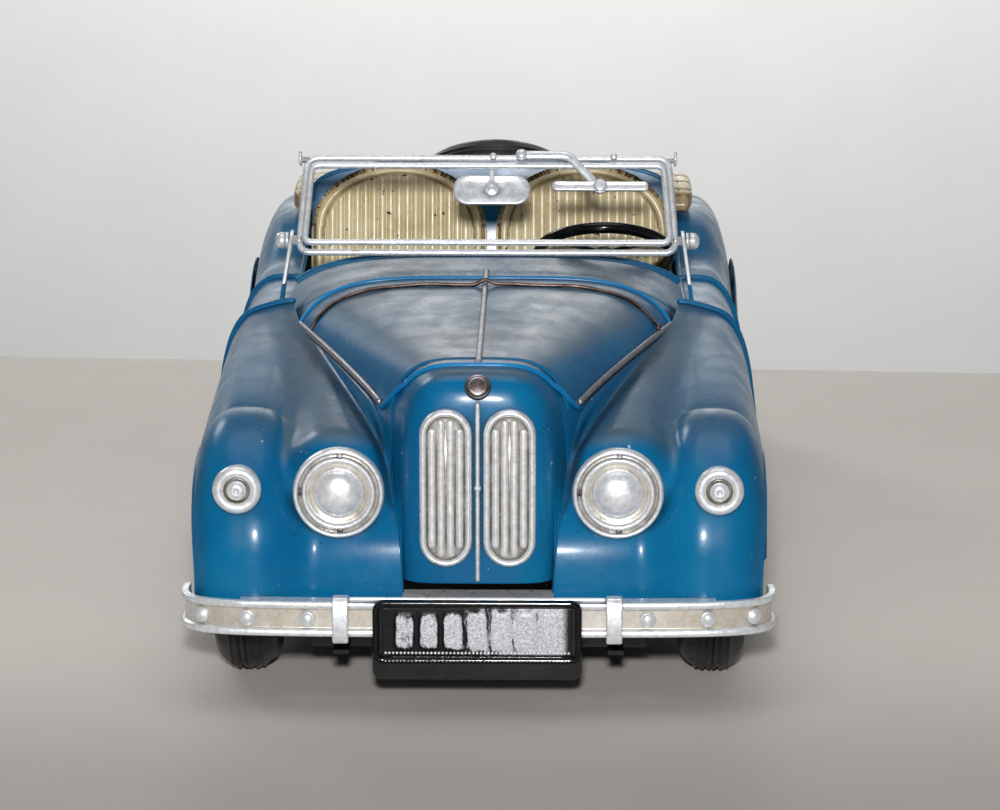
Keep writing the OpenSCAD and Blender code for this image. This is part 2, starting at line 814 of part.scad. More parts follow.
module wiper_blade() {
    color(silver) on_screen() translate([wiper_hub.x, wiper_hub.y, 4.5]) linear_extrude(1) difference() {
        union() {
            translate([-12.1, -1]) square([24.2, 2]);
            circle(r = 1.9);
        }
        circle(r = 0.6 + run_gap);
    }
}

// ---------- spare wheel ----------

module tyre_solid() {
    rotate_extrude($fn = 128) polygon(concat(
        [[15.5, -tyre_w / 2 + 2.2], [17, -tyre_w / 2 + 0.4]],
        arc(tyre_r - 6, -tyre_w / 2 + 6, 6, 270, 360, 7),
        arc(tyre_r - 6, tyre_w / 2 - 6, 6, 0, 90, 7),
        [[17, tyre_w / 2 - 0.4], [15.5, tyre_w / 2 - 2.2]]
    ));
}

module wheel_solid(bore) {
    rotate_extrude($fn = 128) polygon([
        [bore, -4.5], [6, -4.5], [6, 1.5], [11.5, 2.2], [13, 4.2], [14, -5], [15.5, -5.4], [15.5, 5.4],
        [14.2, 5.9], [13, 5.2], [11.4, 3.3], [9.2, 3.4], [7.6, 5.4], [4, 6.9], [bore, 7.2]
    ]);
}

module at_spare() {
    translate([0, 121.5, 78.2]) rotate([-34, 0, 0]) children();
}

module spare_tyre() {
    color(black) at_spare() tyre_solid();
}

// Spare wheel disc with the bolt that holds it on the deck.
module spare_wheel() {
    color(blue) at_spare() wheel_solid(2.2);
    color(silver) at_spare() {
        translate([0, 0, -11]) cylinder(r = 2.2, h = 18.2);
        translate([0, 0, 7.2]) cylinder(r = 3.4, h = 1.4);
    }
}

// ---------- running gear ----------

track = 53.5;

// Both wheels of an axle, pressed on the rod.
module wheel_pair(y) {
    for (side = [-1, 1]) translate([side * track, y, axle_z]) rotate([0, side * 90, 0]) children();
}

module axle_rod(y) {
    color(steel) translate([0, y, axle_z]) rotate([0, 90, 0])
        cylinder(r = axle_r, h = 2 * (track + 6), center = true);
}

module tyre_pair(y) {
    color(black) wheel_pair(y) tyre_solid();
}

module disc_pair(y) {
    color(blue) wheel_pair(y) wheel_solid(axle_r);
}

pan_z = 10.5;
pan_t = 1;
pan_half = 38;
pan_reach = 140;
pan_screws = [[-30, -95], [30, -95], [-30, 40], [30, 40], [0, 130]];
screw_head_r = 2.6;

module at_pan_screws() {
    for (p = pan_screws) translate([p.x, p.y, pan_z]) children();
}

// Black floor pan with turned-up sides; its slots clear the gears and the flywheel.
module chassis_pan() {
    color(black) {
        difference() {
            union() {
                translate([-pan_half, -pan_reach, pan_z]) cube([2 * pan_half, 2 * pan_reach, pan_t]);
                at_pan_screws() cylinder(r = screw_head_r + 1.2, h = 1.9);
            }
            at_pan_screws() {
                translate([0, 0, -1]) cylinder(r = 1.5, h = 4);
                translate([0, 0, -1]) cylinder(r = screw_head_r + 0.1, h = 2);
            }
        }
        for (end = [-1, 1]) translate([-pan_half, end * pan_reach - (end > 0 ? 1 : 0), pan_z + pan_t])
            cube([2 * pan_half, 1, 6.5]);
        for (side = [-1, 1]) translate([side > 0 ? pan_half - 1 : -pan_half, -100, pan_z + pan_t])
            cube([1, 160, 5.5]);
        for (end = [-1, 1]) for (side = [-1, 1])
            translate([side * 31 - 1.8, end > 0 ? pan_reach - 1 : -pan_reach - 7, pan_z])
                cube([3.6, 8, pan_t]);
    }
}

module front_axle_hanger() {
    color(black) for (side = [-1, 1]) translate([side * 34 - 0.6, -front_axle, pan_z + pan_t])
        rotate([90, 0, 90]) linear_extrude(1.2) difference() {
            polygon([[-9, 0], [9, 0], [4.5, axle_z - pan_z + 3], [-4.5, axle_z - pan_z + 3]]);
            translate([0, axle_z - pan_z - pan_t]) circle(r = axle_r + run_gap);
        }
}

// ---------- friction motor ----------

drive_r = gear_module * drive_teeth / 2;
idler_r = gear_module * idler_teeth / 2;
pinion_r = gear_module * pinion_teeth / 2;
mesh_1 = drive_r + pinion_r;
mesh_2 = idler_r + pinion_r;
line_1 = 165;
line_2 = 190;
axle_c = [rear_axle, axle_z];
idler_c = axle_c + mesh_1 * [cos(line_1), sin(line_1)];
flywheel_c = idler_c + mesh_2 * [cos(line_2), sin(line_2)];
pressure = 25;
slack = 0.7;

function involute(base, r) = let (q = sqrt(max(0, pow(r / base, 2) - 1))) q * 180 / PI - atan(q);

// Outline of a spur gear with one tooth centred on the direction at.
function gear(teeth, at) =
    let (
        r = gear_module * teeth / 2,
        base = r * cos(pressure),
        tip = r + 0.8 * gear_module,
        root = r - 1.1 * gear_module,
        half = 90 / teeth - slack * 6 / teeth + involute(base, r),
        steps = [for (k = [0 : 4]) max(base, root) + (tip - max(base, root)) * k / 4]
    )
    [
        for (n = [0 : teeth - 1]) let (c = at + 360 * n / teeth)
        each concat(
            [root * [cos(c - half), sin(c - half)]],
            [for (q = steps) let (a = c - half + involute(base, q)) q * [cos(a), sin(a)]],
            [
                for (k = [4 : -1 : 0])
                let (a = c + half - involute(base, steps[k]))
                steps[k] * [cos(a), sin(a)]
            ],
            [root * [cos(c + half), sin(c + half)]]
        )
    ];

// Places a drawing in Y and Z at a shaft, starting at x.
module on_shaft(c, x) {
    translate([x, c.x, c.y]) rotate([90, 0, 90]) children();
}

module drive_gear() {
    color(brass) on_shaft(axle_c, -9) {
        linear_extrude(3) difference() {
            polygon(gear(drive_teeth, line_1));
            circle(r = axle_r);
        }
        translate([0, 0, 3]) linear_extrude(2) difference() {
            circle(r = 3);
            circle(r = axle_r);
        }
    }
}

module idler_gears() {
    color(brass) {
        on_shaft(idler_c, -9.5) linear_extrude(4.5) difference() {
            polygon(gear(pinion_teeth, line_1 + 180 + 180 / pinion_teeth));
            circle(r = 1);
        }
        on_shaft(idler_c, -5) linear_extrude(2) difference() {
            polygon(gear(idler_teeth, line_2));
            circle(r = 1);
        }
    }
    color(steel) on_shaft(idler_c, -14.5) cylinder(r = 1, h = 29);
}

module flywheel() {
    color(steel) on_shaft(flywheel_c, 1) linear_extrude(9) difference() {
        circle(r = flywheel_r, $fn = 96);
        circle(r = 1);
    }
    color(brass) on_shaft(flywheel_c, -5.5) linear_extrude(3.5) difference() {
        polygon(gear(pinion_teeth, line_2 + 180 + 180 / pinion_teeth));
        circle(r = 1);
    }
    color(steel) on_shaft(flywheel_c, -14.5) cylinder(r = 1, h = 29);
}

module motor_frame() {
    plate_x = 13;
    color(steel) for (side = [-1, 1]) on_shaft([0, 0], side * plate_x - 0.5) linear_extrude(1)
        difference() {
            polygon([[42, pan_z + pan_t], [94, pan_z + pan_t], [94, 33], [70, 39], [48, 37], [42, 30]]);
            translate(axle_c) circle(r = axle_r + run_gap);
            for (c = [idler_c, flywheel_c]) translate(c) circle(r = 1 + run_gap);
        }
    color(steel) for (p = [[44.2, 17], [92, 31], [92, 16]]) on_shaft(p, -12.5) cylinder(r = 1.2, h = 25);
}

module chassis_screws() {
    color(steel) at_pan_screws() {
        translate([0, 0, 0.1]) cylinder(r = screw_head_r, h = 0.9);
        cylinder(r = 1.5, h = 5);
    }
}

chassis_pan();
front_axle_hanger();
front_wing();  // front_wing_right
mirror([1, 0, 0]) front_wing();  // front_wing_left
bonnet();
scuttle();
nose_shell();
door();  // door_right
mirror([1, 0, 0]) door();  // door_left
rear_wing();  // rear_wing_right
mirror([1, 0, 0]) rear_wing();  // rear_wing_left
rear_deck();
wheel_spats();
cockpit_tub();
dashboard();
seat();  // seat_right
mirror([1, 0, 0]) seat();  // seat_left
hood_cover();
grille_surrounds();
grille_slats();
nose_strip();
nose_badge();
headlamp_rims();
headlamp_domes();
parking_lamps();
front_bumper();
rear_bumper();
bumper_rivets();
overriders();
plate_frame();
plate_face();
tail_lamps();
bonnet_centre_strip();
bonnet_side_strips();
bonnet_arch_wire();
stanchions();
stanchion_feet();
screen_screws();
screen_carrier();
screen_frame();
mirror_arm();
mirror_plate();
wiper_arm();
wiper_blade();
steering_column();
steering_wheel();
spare_tyre();
spare_wheel();
axle_rod(-front_axle);  // front_axle_rod
axle_rod(rear_axle);  // rear_axle_rod
disc_pair(-front_axle);  // front_wheels
disc_pair(rear_axle);  // rear_wheels
tyre_pair(-front_axle);  // front_tyres
tyre_pair(rear_axle);  // rear_tyres
motor_frame();
drive_gear();
idler_gears();
flywheel();
chassis_screws();
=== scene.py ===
"""Looks of the friction tin car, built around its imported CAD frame."""

import json
import math

import bmesh
import bpy
import numpy as np
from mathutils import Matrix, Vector


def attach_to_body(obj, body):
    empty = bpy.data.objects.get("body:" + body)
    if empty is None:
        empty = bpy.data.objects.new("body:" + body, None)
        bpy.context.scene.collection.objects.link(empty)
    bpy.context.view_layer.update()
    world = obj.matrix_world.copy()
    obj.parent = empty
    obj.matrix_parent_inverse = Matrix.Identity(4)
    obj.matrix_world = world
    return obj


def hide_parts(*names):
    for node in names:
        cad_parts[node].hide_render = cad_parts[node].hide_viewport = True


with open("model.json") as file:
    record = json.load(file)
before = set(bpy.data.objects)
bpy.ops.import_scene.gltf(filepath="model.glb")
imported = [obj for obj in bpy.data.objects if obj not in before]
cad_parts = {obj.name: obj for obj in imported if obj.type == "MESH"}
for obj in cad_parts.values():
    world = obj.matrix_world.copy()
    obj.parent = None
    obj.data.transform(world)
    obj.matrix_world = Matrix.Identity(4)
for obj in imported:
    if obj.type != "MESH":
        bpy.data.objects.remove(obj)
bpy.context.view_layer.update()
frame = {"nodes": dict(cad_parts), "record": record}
MM = 0.001
BODY_OF = {node: body for body, nodes in frame["record"]["behaviour"]["bodies"].items() for node in nodes}
SLOT_OF = {part["node"]: part["material_slot"] for part in frame["record"]["subparts"]}


# ---------------------------------------------------------------- shape of the shell
# Functions that are below zero inside the shell. They follow the CAD panels, in millimetres.

HALF_WIDTH = 67.0
NOSE_REACH = 150.0
TAIL_REACH = 153.0
BONNET_FRONT_H = 76.0
BONNET_REAR_H = 79.8
REAR_CROWN_H = 79.6
NOSE_HALF = 16.0
WING_X = HALF_WIDTH - 13.5
WING_A = 13.5
WING_TURN = -NOSE_REACH + 32.0
FRONT_SEAM = -40.0
REAR_SEAM = 15.0
SILL_Z = 19.0
COCKPIT_X = 50.0
SCUTTLE_REAR = -14.0
DECK_FRONT = 94.0
DECK_VALLEY = 42.0
FRONT_AXLE = -118.0
REAR_AXLE = 80.0
AXLE_Z = 24.0
ARCH_R = 27.0
LAMP_X = 31.4
POD_R = 12.5
SKIN_X = 67.62
TIN = 0.7
RAY_REACH = 170.0
RAY_HALVINGS = 34
UP = np.array([0.0, 0.0, 1.0])
BACKWARD = np.array([1, -1, 1])
FORWARD = (0, -1, 0)


def sup2(a, b, p):
    return (np.abs(a) ** p + np.abs(b) ** p) ** (1 / p)


def smin(a, b, k):
    return np.minimum(a, b) - (np.maximum(k - np.abs(a - b), 0) / k) ** 2 * k / 4


def smax(a, b, k):
    return -smin(-a, -b, k)


def wing_crown(y):
    ahead = 61.5 + 9 * np.maximum(0, (y - WING_TURN) / (FRONT_SEAM - WING_TURN)) ** 0.8
    part = np.clip((y - FRONT_SEAM) / (REAR_SEAM + 10 - FRONT_SEAM), 0, 1)
    return np.where(y < FRONT_SEAM, ahead, 70.5 - 2.5 * np.sin(math.pi * part))


def front_reach_of(x, y, z):
    return sup2(np.maximum(0, z - 24) / (wing_crown(y) - 24), np.maximum(0, WING_TURN - y) / 32, 2.2)


def rear_reach_of(x, y, z):
    along = np.where(y < 84, (84 - y) / 68, (y - 84) / (TAIL_REACH - 85))
    return sup2(np.maximum(0, z - 30) / (REAR_CROWN_H - 30), along, 2.4)


def wing_field(x, reach):
    return (sup2(reach, (np.abs(x) - WING_X) / WING_A, 3) - 1) * WING_A


def lamp_pod_field(x, y, z):
    s = y + 138
    side = np.abs(x) - LAMP_X - 0.155 * s
    up = z - 46.5 - 0.125 * s
    return (sup2(sup2(side, up, 2) / POD_R, np.maximum(0, -130 - y) / 11, 3) - 1) * POD_R


def apron_field(x, y, z):
    front = np.maximum(0, WING_TURN - y) / 29
    return (sup2(sup2(x / 60, np.maximum(0, z - 10) / 36, 5), front, 4) - 1) * 20


def strip_x(y):
    return np.where(y < -55, 22.3 + (y + 128) * 0.3205, 45.7 + (y + 55) * 0.143)


def bonnet_field(x, y, z):
    top = BONNET_FRONT_H + (y + 140) * (BONNET_REAR_H - BONNET_FRONT_H) / 110
    half = np.where(y < -55, 23.5 + (y + 128) * 0.367, 50.3 + (y + 55) * 0.18)
    front = np.maximum(0, -133 - y) / 8
    return (sup2(sup2(x / half, np.maximum(0, z - 40) / (top - 40), 4), front, 4) - 1) * 18


def nose_field(x, y, z):
    drop = np.maximum(0, -138 - y) * 0.12
    over = np.maximum(0, z - 40) / (BONNET_FRONT_H - 40 - drop)
    flare = NOSE_HALF + 5.8 * np.minimum(1, np.maximum(0, y + 149) / 19) ** 0.9
    return (sup2(sup2(x / flare, over, 4), np.maximum(0, -143 - y) / 8, 4.5) - 1) * NOSE_HALF


def deck_field(x, y, z):
    slope = np.maximum(y - DECK_FRONT, 2.5 * (DECK_FRONT - y))
    back = smax((z - 84 + 0.67 * slope) * 0.83, y - TAIL_REACH, 14)
    return smax(back, np.abs(x) - 54, 12)


def front_field(x, y, z):
    wing = wing_field(x, front_reach_of(x, y, z))
    low = smin(smin(wing, apron_field(x, y, z), 6), lamp_pod_field(x, y, z), 3.5)
    return smin(low, bonnet_field(x, y, z), 1.2)


def door_field(x, y, z):
    return wing_field(x, front_reach_of(x, y, z))


def rear_field(x, y, z):
    rear = rear_reach_of(x, y, z)
    reach = np.where(y < 60, smin(rear, front_reach_of(x, y, z), 0.12), rear)
    return smin(wing_field(x, reach), deck_field(x, y, z), 4)


def crown_field(x, y, z):
    return np.minimum(bonnet_field(x, y, z), nose_field(x, y, z))


def lap_field(x, y, z):
    return np.minimum(crown_field(x, y, z), front_field(np.abs(x), y, z))


def shell_field(x, y, z):
    """The whole shell, for telling how deep in a crease a point lies."""
    ahead = np.minimum(front_field(x, y, z), nose_field(x, y, z))
    return np.where(y < FRONT_SEAM, ahead, np.where(y < REAR_SEAM, door_field(x, y, z), rear_field(x, y, z)))


def hit(field, start, way):
    """Points where rays from inside the shell leave it."""
    start, way = np.broadcast_arrays(np.asarray(start, float), np.asarray(way, float))
    low = np.zeros(start.shape[:-1])
    high = np.full(start.shape[:-1], RAY_REACH)
    for _ in range(RAY_HALVINGS):
        mid = (low + high) / 2
        p = start + mid[..., None] * way
        inside = field(p[..., 0], p[..., 1], p[..., 2]) < 0
        low = np.where(inside, mid, low)
        high = np.where(inside, high, mid)
    return start + ((low + high) / 2)[..., None] * way


def slope_of(field, p, step=0.05):
    """Gradient of a field at points."""
    parts = []
    for k in range(3):
        d = np.zeros(3)
        d[k] = step
        parts.append((field(*(p + d).T) - field(*(p - d).T)) / (2 * step))
    return np.stack(parts, 1)


def unit(v):
    return v / np.maximum(np.linalg.norm(v, axis=-1, keepdims=True), 1e-9)


def cavity_of(p):
    """From 0 on open skin to 1 in a crease, felt for at two distances."""
    slope = slope_of(shell_field, p)
    size = np.maximum(np.linalg.norm(slope, axis=1), 0.2)
    out = slope / size[:, None]
    found = np.zeros(len(p))
    for reach, share in ((1.5, 0.5), (4.0, 0.5)):
        there = shell_field(*(p + reach * out).T) / size
        found += share * np.clip(1 - there / reach, 0, 1)
    return np.clip(found * 1.8, 0, 1)


def fan(a, b):
    """Directions from straight up to level: out to the side by a, forward by b, each from 0 to 1."""
    a, b = np.broadcast_arrays(np.asarray(a, float), np.asarray(b, float))
    low = np.maximum(np.abs(a), np.abs(b))
    small = np.minimum(np.abs(a), np.abs(b))
    share = np.divide(small, low, out=np.zeros_like(low), where=low > 0)
    az = np.where(np.abs(a) >= np.abs(b), share, 2 - share) * math.pi / 4
    tilt = low * math.pi / 2
    return np.stack(
        [np.sign(a) * np.cos(az) * np.sin(tilt), -np.sign(b) * np.sin(az) * np.sin(tilt), np.cos(tilt)], -1
    )


# ---------------------------------------------------------------- mesh helpers


def add_object(name, verts, faces, stain=None, solid=False):
    """A smooth mesh object from points in millimetres. Each point may carry a value for the paint: real
    stains and rubbing, and on the panels, seats and hood also grime and painted shade in creases and
    underneath.
    """
    mesh = bpy.data.meshes.new(name)
    mesh.from_pydata((np.asarray(verts, float) * MM).tolist(), [], [list(map(int, f)) for f in faces])
    if stain is not None:
        mesh.attributes.new("stain", "FLOAT", "POINT").data.foreach_set("value", np.asarray(stain, float))
    if solid:
        bm = bmesh.new()
        bm.from_mesh(mesh)
        bmesh.ops.remove_doubles(bm, verts=bm.verts, dist=1e-6)
        bmesh.ops.dissolve_degenerate(bm, edges=bm.edges, dist=1e-7)
        bmesh.ops.recalc_face_normals(bm, faces=bm.faces)
        bm.to_mesh(mesh)
        bm.free()
    mesh.validate()
    mesh.shade_smooth()
    obj = bpy.data.objects.new(name, mesh)
    bpy.context.scene.collection.objects.link(obj)
    return obj


def attach(obj, mat, node, stands_for=True):
    """Puts a piece on the body of a CAD node, and in its place if it stands for it."""
    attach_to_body(obj, BODY_OF[node])
    if stands_for:
        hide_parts(node)
    obj.data.materials.clear()
    obj.data.materials.append(mat)
    return obj


def soften(obj, width, segments=3, angle=32):
    """Rounds the sharp edges of a machined or pressed piece."""
    bevel = obj.modifiers.new("edges", "BEVEL")
    bevel.width = width * MM
    bevel.segments = segments
    bevel.limit_method = "ANGLE"
    bevel.angle_limit = math.radians(angle)
    bevel.harden_normals = True
    return obj


def thicken(obj, mm):
    solid = obj.modifiers.new("tin", "SOLIDIFY")
    solid.thickness = mm * MM
    solid.offset = -1
    return obj


def piece(name, mesh, mat, node, stain=None, solid=True, edges=None, stands_for=True):
    """A piece from a pair of points and faces; edges says how soften rounds it."""
    obj = add_object(name, *mesh, stain, solid)
    if edges:
        soften(obj, *edges)
    return attach(obj, mat, node, stands_for)


def detail(name, mesh, mat, node, **more):
    """A piece beside the one that stands for the node."""
    return piece(name, mesh, mat, node, stands_for=False, **more)


def placed(points, origin, turn):
    """Turns points about X by a number of degrees and then moves them."""
    c, s = math.cos(math.radians(turn)), math.sin(math.radians(turn))
    x, y, z = np.asarray(points, float).T
    return np.stack([x, y * c - z * s, y * s + z * c], 1) + np.asarray(origin, float)


def join(*meshes):
    """One mesh from several pairs of points and faces."""
    verts, faces, count = [], [], 0
    for points, polys in meshes:
        verts.append(np.asarray(points, float))
        faces += [[int(v) + count for v in f] for f in polys]
        count += len(points)
    return np.concatenate(verts), faces


def mirrored(mesh):
    return mesh[0] * np.array([-1, 1, 1]), [list(f)[::-1] for f in mesh[1]]


def both(mesh):
    return join(mesh, mirrored(mesh))


def moved(mesh, shift):
    return mesh[0] + np.asarray(shift, float), mesh[1]


def grid_faces(rows, cols, flip=False):
    i, j = np.meshgrid(np.arange(rows - 1), np.arange(cols - 1), indexing="ij")
    a = (i * cols + j).ravel()
    quads = np.stack([a, a + 1, a + cols + 1, a + cols], 1)
    return quads[:, ::-1] if flip else quads


def ring_faces(rows, cols, closed):
    """Faces between rings of points, each ring closed; closed joins the last ring to the first."""
    faces = []
    for i in range(rows if closed else rows - 1):
        a, b = i * cols, (i + 1) % rows * cols
        faces += [[a + k, a + (k + 1) % cols, b + (k + 1) % cols, b + k] for k in range(cols)]
    if not closed:
        faces += [list(range(cols))[::-1], list(range((rows - 1) * cols, rows * cols))]
    return faces


def round_ends(path, r, steps=5):
    """A path carried past both of its ends, and the size of its section along it, for domed ends."""
    path = np.asarray(path, float)
    a = np.linspace(math.pi / 2, 0, steps, endpoint=False)
    head = path[0] + r * np.sin(a)[:, None] * unit(path[0] - path[1])
    tail = path[-1] + r * np.sin(a[::-1])[:, None] * unit(path[-1] - path[-2])
    size = np.maximum(np.cos(a), 0.08)
    return np.concatenate([head, path, tail]), np.concatenate([size, np.ones(len(path)), size[::-1]])


def sweep(path, section, up=(0, 0, 1), closed=False, size=None):
    """A section carried along a path, its first axis to the right of the path and its second along up."""
    path = np.asarray(path, float)
    ahead = np.roll(path, -1, 0) - np.roll(path, 1, 0) if closed else np.gradient(path, axis=0)
    ahead = unit(ahead)
    across = unit(np.cross(ahead, np.broadcast_to(np.asarray(up, float), path.shape)))
    lift = np.cross(across, ahead)
    size = np.ones(len(path)) if size is None else size
    section = np.asarray(section, float)
    rings = section[None, :, :1] * across[:, None] + section[None, :, 1:] * lift[:, None]
    points = path[:, None] + size[:, None, None] * rings
    return points.reshape(-1, 3), ring_faces(len(path), len(section), closed)


def circle(r, n=14, squash=1.0):
    a = np.arange(n) * 2 * math.pi / n
    return np.stack([r * np.cos(a), r * squash * np.sin(a)], 1)


def half_round(w, h, n=9):
    """A strip's section: flat underneath and domed on top."""
    a = np.linspace(0, math.pi, n)
    return np.stack([w * np.cos(a), h * np.abs(np.sin(a)) ** 0.8], 1)


def tube(path, r, up=(0, 0, 1), closed=False, squash=1.0, n=14):
    if closed:
        return sweep(path, circle(r, n, squash), up, True)
    path, size = round_ends(path, r)
    return sweep(path, circle(r, n, squash), up, False, size)


def lathe(profile, origin=(0, 0, 0), aim=(0, 0, 1), steps=64):
    """Radius and height pairs turned about a line from origin along aim."""
    profile = np.asarray(profile, float)
    aim = unit(np.asarray(aim, float))
    side = unit(np.cross(aim, [0.0, 0, 1] if abs(aim[2]) < 0.9 else [1.0, 0, 0]))
    other = np.cross(aim, side)
    a = np.arange(steps) * 2 * math.pi / steps
    spokes = np.cos(a)[:, None] * side + np.sin(a)[:, None] * other
    r = np.maximum(profile[:, 0], 1e-7)
    points = r[None, :, None] * spokes[:, None] + profile[None, :, 1:] * aim
    n = len(profile)
    faces = []
    for i in range(steps):
        b = (i + 1) % steps
        faces += [[i * n + k, b * n + k, b * n + k + 1, i * n + k + 1] for k in range(n - 1)]
    return points.reshape(-1, 3) + np.asarray(origin, float), faces


def dome(r, h, n=7):
    """Profile of a low round head of radius r and height h."""
    a = np.linspace(0, math.pi / 2, n)
    return [(r, -0.3 * h)] + [(r * math.cos(t), h * math.sin(t)) for t in a]


def plate(outline, low, high):
    """A flat plate from an outline in its own plane."""
    outline = np.asarray(outline, float)
    n = len(outline)
    points = np.concatenate([np.column_stack([outline, np.full(n, z)]) for z in (low, high)])
    return points, ring_faces(2, n, False)


def arc(cx, cy, r, a0, a1, n):
    a = np.radians(np.linspace(a0, a1, n + 1))
    return np.stack([cx + r * np.cos(a), cy + r * np.sin(a)], 1)


def rounded_rect(w, h, r, n=6):
    corners = ((w - r, h - r, 0), (r - w, h - r, 90), (r - w, r - h, 180), (w - r, r - h, 270))
    return np.concatenate([arc(x, y, r, a, a + 90, n) for x, y, a in corners])


def rounded_bar(w, h, n=12):
    return np.concatenate([arc(0, h - w, w, 0, 180, n), arc(0, w - h, w, 180, 360, n)])


def even_loop(points, count):
    """Points spread evenly round a closed outline."""
    points = np.asarray(points, float)
    ring = np.concatenate([points, points[:1]])
    along = np.concatenate([[0], np.cumsum(np.linalg.norm(np.diff(ring, axis=0), axis=1))])
    at = np.arange(count) / count * along[-1]
    return np.stack([np.interp(at, along, ring[:, k]) for k in range(points.shape[1])], 1)


def curve_through(points, count):
    """A smooth run of points through a few."""
    points = np.asarray(points, float)
    ring = np.concatenate([2 * points[:1] - points[1:2], points, 2 * points[-1:] - points[-2:-1]])
    at = np.linspace(0, len(points) - 1, count)
    k = np.minimum(at.astype(int), len(points) - 2)
    t = (at - k)[:, None]
    a, b, c, d = (ring[k + n] for n in range(4))
    return 0.5 * (2 * b + (c - a) * t + (2 * a - 5 * b + 4 * c - d) * t**2 + (3 * b - a - 3 * c + d) * t**3)


def clip(verts, faces, value):
    """Keeps the part of a mesh where value is above zero, cutting the faces that cross it."""
    verts = [tuple(v) for v in verts]
    cuts = {}
    kept = []

    def cut(a, b):
        key = (min(a, b), max(a, b))
        if key not in cuts:
            t = value[a] / (value[a] - value[b])
            p = np.array(verts[a]) * (1 - t) + np.array(verts[b]) * t
            cuts[key] = len(verts)
            verts.append(tuple(p))
        return cuts[key]

    for face in faces:
        inside = [value[v] > 0 for v in face]
        if all(inside):
            kept.append(list(face))
            continue
        if not any(inside):
            continue
        poly = []
        for k, v in enumerate(face):
            w = face[(k + 1) % len(face)]
            if inside[k]:
                poly.append(v)
            if inside[k] != inside[(k + 1) % len(face)]:
                poly.append(cut(v, w))
        if len(poly) > 2:
            kept.append(poly)
    used = sorted({v for f in kept for v in f})
    index = {v: n for n, v in enumerate(used)}
    return np.array([verts[v] for v in used]), [[index[v] for v in f] for f in kept]


def panel(name, grid, node, arch=None, flip=False, side=1):
    """A pressed panel from a grid of points. side -1 mirrors it to the car's other side."""
    rows, cols = grid.shape[:2]
    verts = grid.reshape(-1, 3) * np.array([side, 1, 1])
    verts[:, 0] = np.clip(verts[:, 0], -SKIN_X, SKIN_X)
    faces = grid_faces(rows, cols, flip == (side < 0))
    if arch is not None:
        value = np.hypot(verts[:, 1] - arch, verts[:, 2] - AXLE_Z) - ARCH_R
        value = np.where(np.abs(verts[:, 0]) > 40, value, 9)
        verts, faces = clip(verts, faces.tolist(), value)
    # Crease depth goes to the paint, which darkens creases with grime and painted shade.
    obj = add_object(name, verts, faces, cavity_of(verts))
    thicken(obj, TIN)
    return attach(obj, BLUE, node)


# ---------------------------------------------------------------- materials


class Look:
    """A material and short ways to add nodes to it. Lengths in its patterns are in metres."""

    def __init__(self, name, **settings):
        self.mat = bpy.data.materials.new(name)
        self.mat.use_nodes = True
        self.tree = self.mat.node_tree
        self.tree.nodes.clear()
        out = self.tree.nodes.new("ShaderNodeOutputMaterial")
        self.bsdf = self.tree.nodes.new("ShaderNodeBsdfPrincipled")
        self.tree.links.new(self.bsdf.outputs[0], out.inputs[0])
        for key, value in settings.items():
            self.bsdf.inputs[key.replace("_", " ")].default_value = value
        self.place = self.add("ShaderNodeTexCoord").outputs["Object"]

    def add(self, kind, inputs=None, **props):
        node = self.tree.nodes.new(kind)
        for key, value in props.items():
            setattr(node, key, value)
        for key, value in (inputs or {}).items():
            if isinstance(value, bpy.types.NodeSocket):
                self.tree.links.new(value, node.inputs[key])
            else:
                node.inputs[key].default_value = value
        return node

    def noise(self, scale, detail=3.0, roughness=0.55, distortion=0.0, stretch=None):
        place = self.place
        if stretch:
            place = self.add("ShaderNodeMapping", {"Vector": place, "Scale": stretch}).outputs[0]
        inputs = {"Vector": place, "Scale": scale, "Detail": detail, "Roughness": roughness}
        return self.add("ShaderNodeTexNoise", {**inputs, "Distortion": distortion}).outputs["Fac"]

    def cells(self, scale):
        return self.add("ShaderNodeTexVoronoi", {"Vector": self.place, "Scale": scale}).outputs["Distance"]

    def span(self, value, low, high, to_low=0.0, to_high=1.0):
        """Stretches a value so that low and high become to_low and to_high, eased and held beyond them."""
        inputs = {"Value": value, 1: low, 2: high, 3: to_low, 4: to_high}
        return self.add("ShaderNodeMapRange", inputs, interpolation_type="SMOOTHSTEP").outputs[0]

    def math(self, operation, a, b=0.0):
        return self.add("ShaderNodeMath", {0: a, 1: b}, operation=operation, use_clamp=True).outputs[0]

    def times(self, a, b):
        return self.math("MULTIPLY", a, b)

    def mix(self, factor, a, b):
        return self.add("ShaderNodeMix", {0: factor, 6: a, 7: b}, data_type="RGBA").outputs[2]

    def over(self, color, top, cover, most):
        """Lays a colour over another, as thick as cover times most."""
        return self.mix(self.times(cover, most), color, top)

    def crevice(self, distance, low, high):
        """From 0 in the open to 1 where surfaces meet, by ambient occlusion; the paints darken their colour
        by it, as grime and painted shade.
        """
        ao = self.add("ShaderNodeAmbientOcclusion", {"Distance": distance}, samples=6)
        return self.span(ao.outputs["AO"], low, high, 1.0, 0.0)

    def stain(self):
        return self.add("ShaderNodeAttribute", attribute_name="stain").outputs["Fac"]

    def facing_up(self, low, high):
        normal = self.add("ShaderNodeNewGeometry").outputs["Normal"]
        return self.span(self.add("ShaderNodeSeparateXYZ", {0: normal}).outputs[2], low, high)

    def finish(self, color, roughness, height, bump, distance=0.0002):
        self.tree.links.new(color, self.bsdf.inputs["Base Color"])
        self.tree.links.new(roughness, self.bsdf.inputs["Roughness"])
        node = self.add("ShaderNodeBump", {"Strength": bump, "Distance": distance, "Height": height})
        self.tree.links.new(node.outputs[0], self.bsdf.inputs["Normal"])
        return self.mat


def rgb(code):
    """Linear colour from a hex code."""
    parts = [int(code[k : k + 2], 16) / 255 for k in (0, 2, 4)]
    return tuple(c / 12.92 if c < 0.04045 else ((c + 0.055) / 1.055) ** 2.4 for c in parts) + (1.0,)


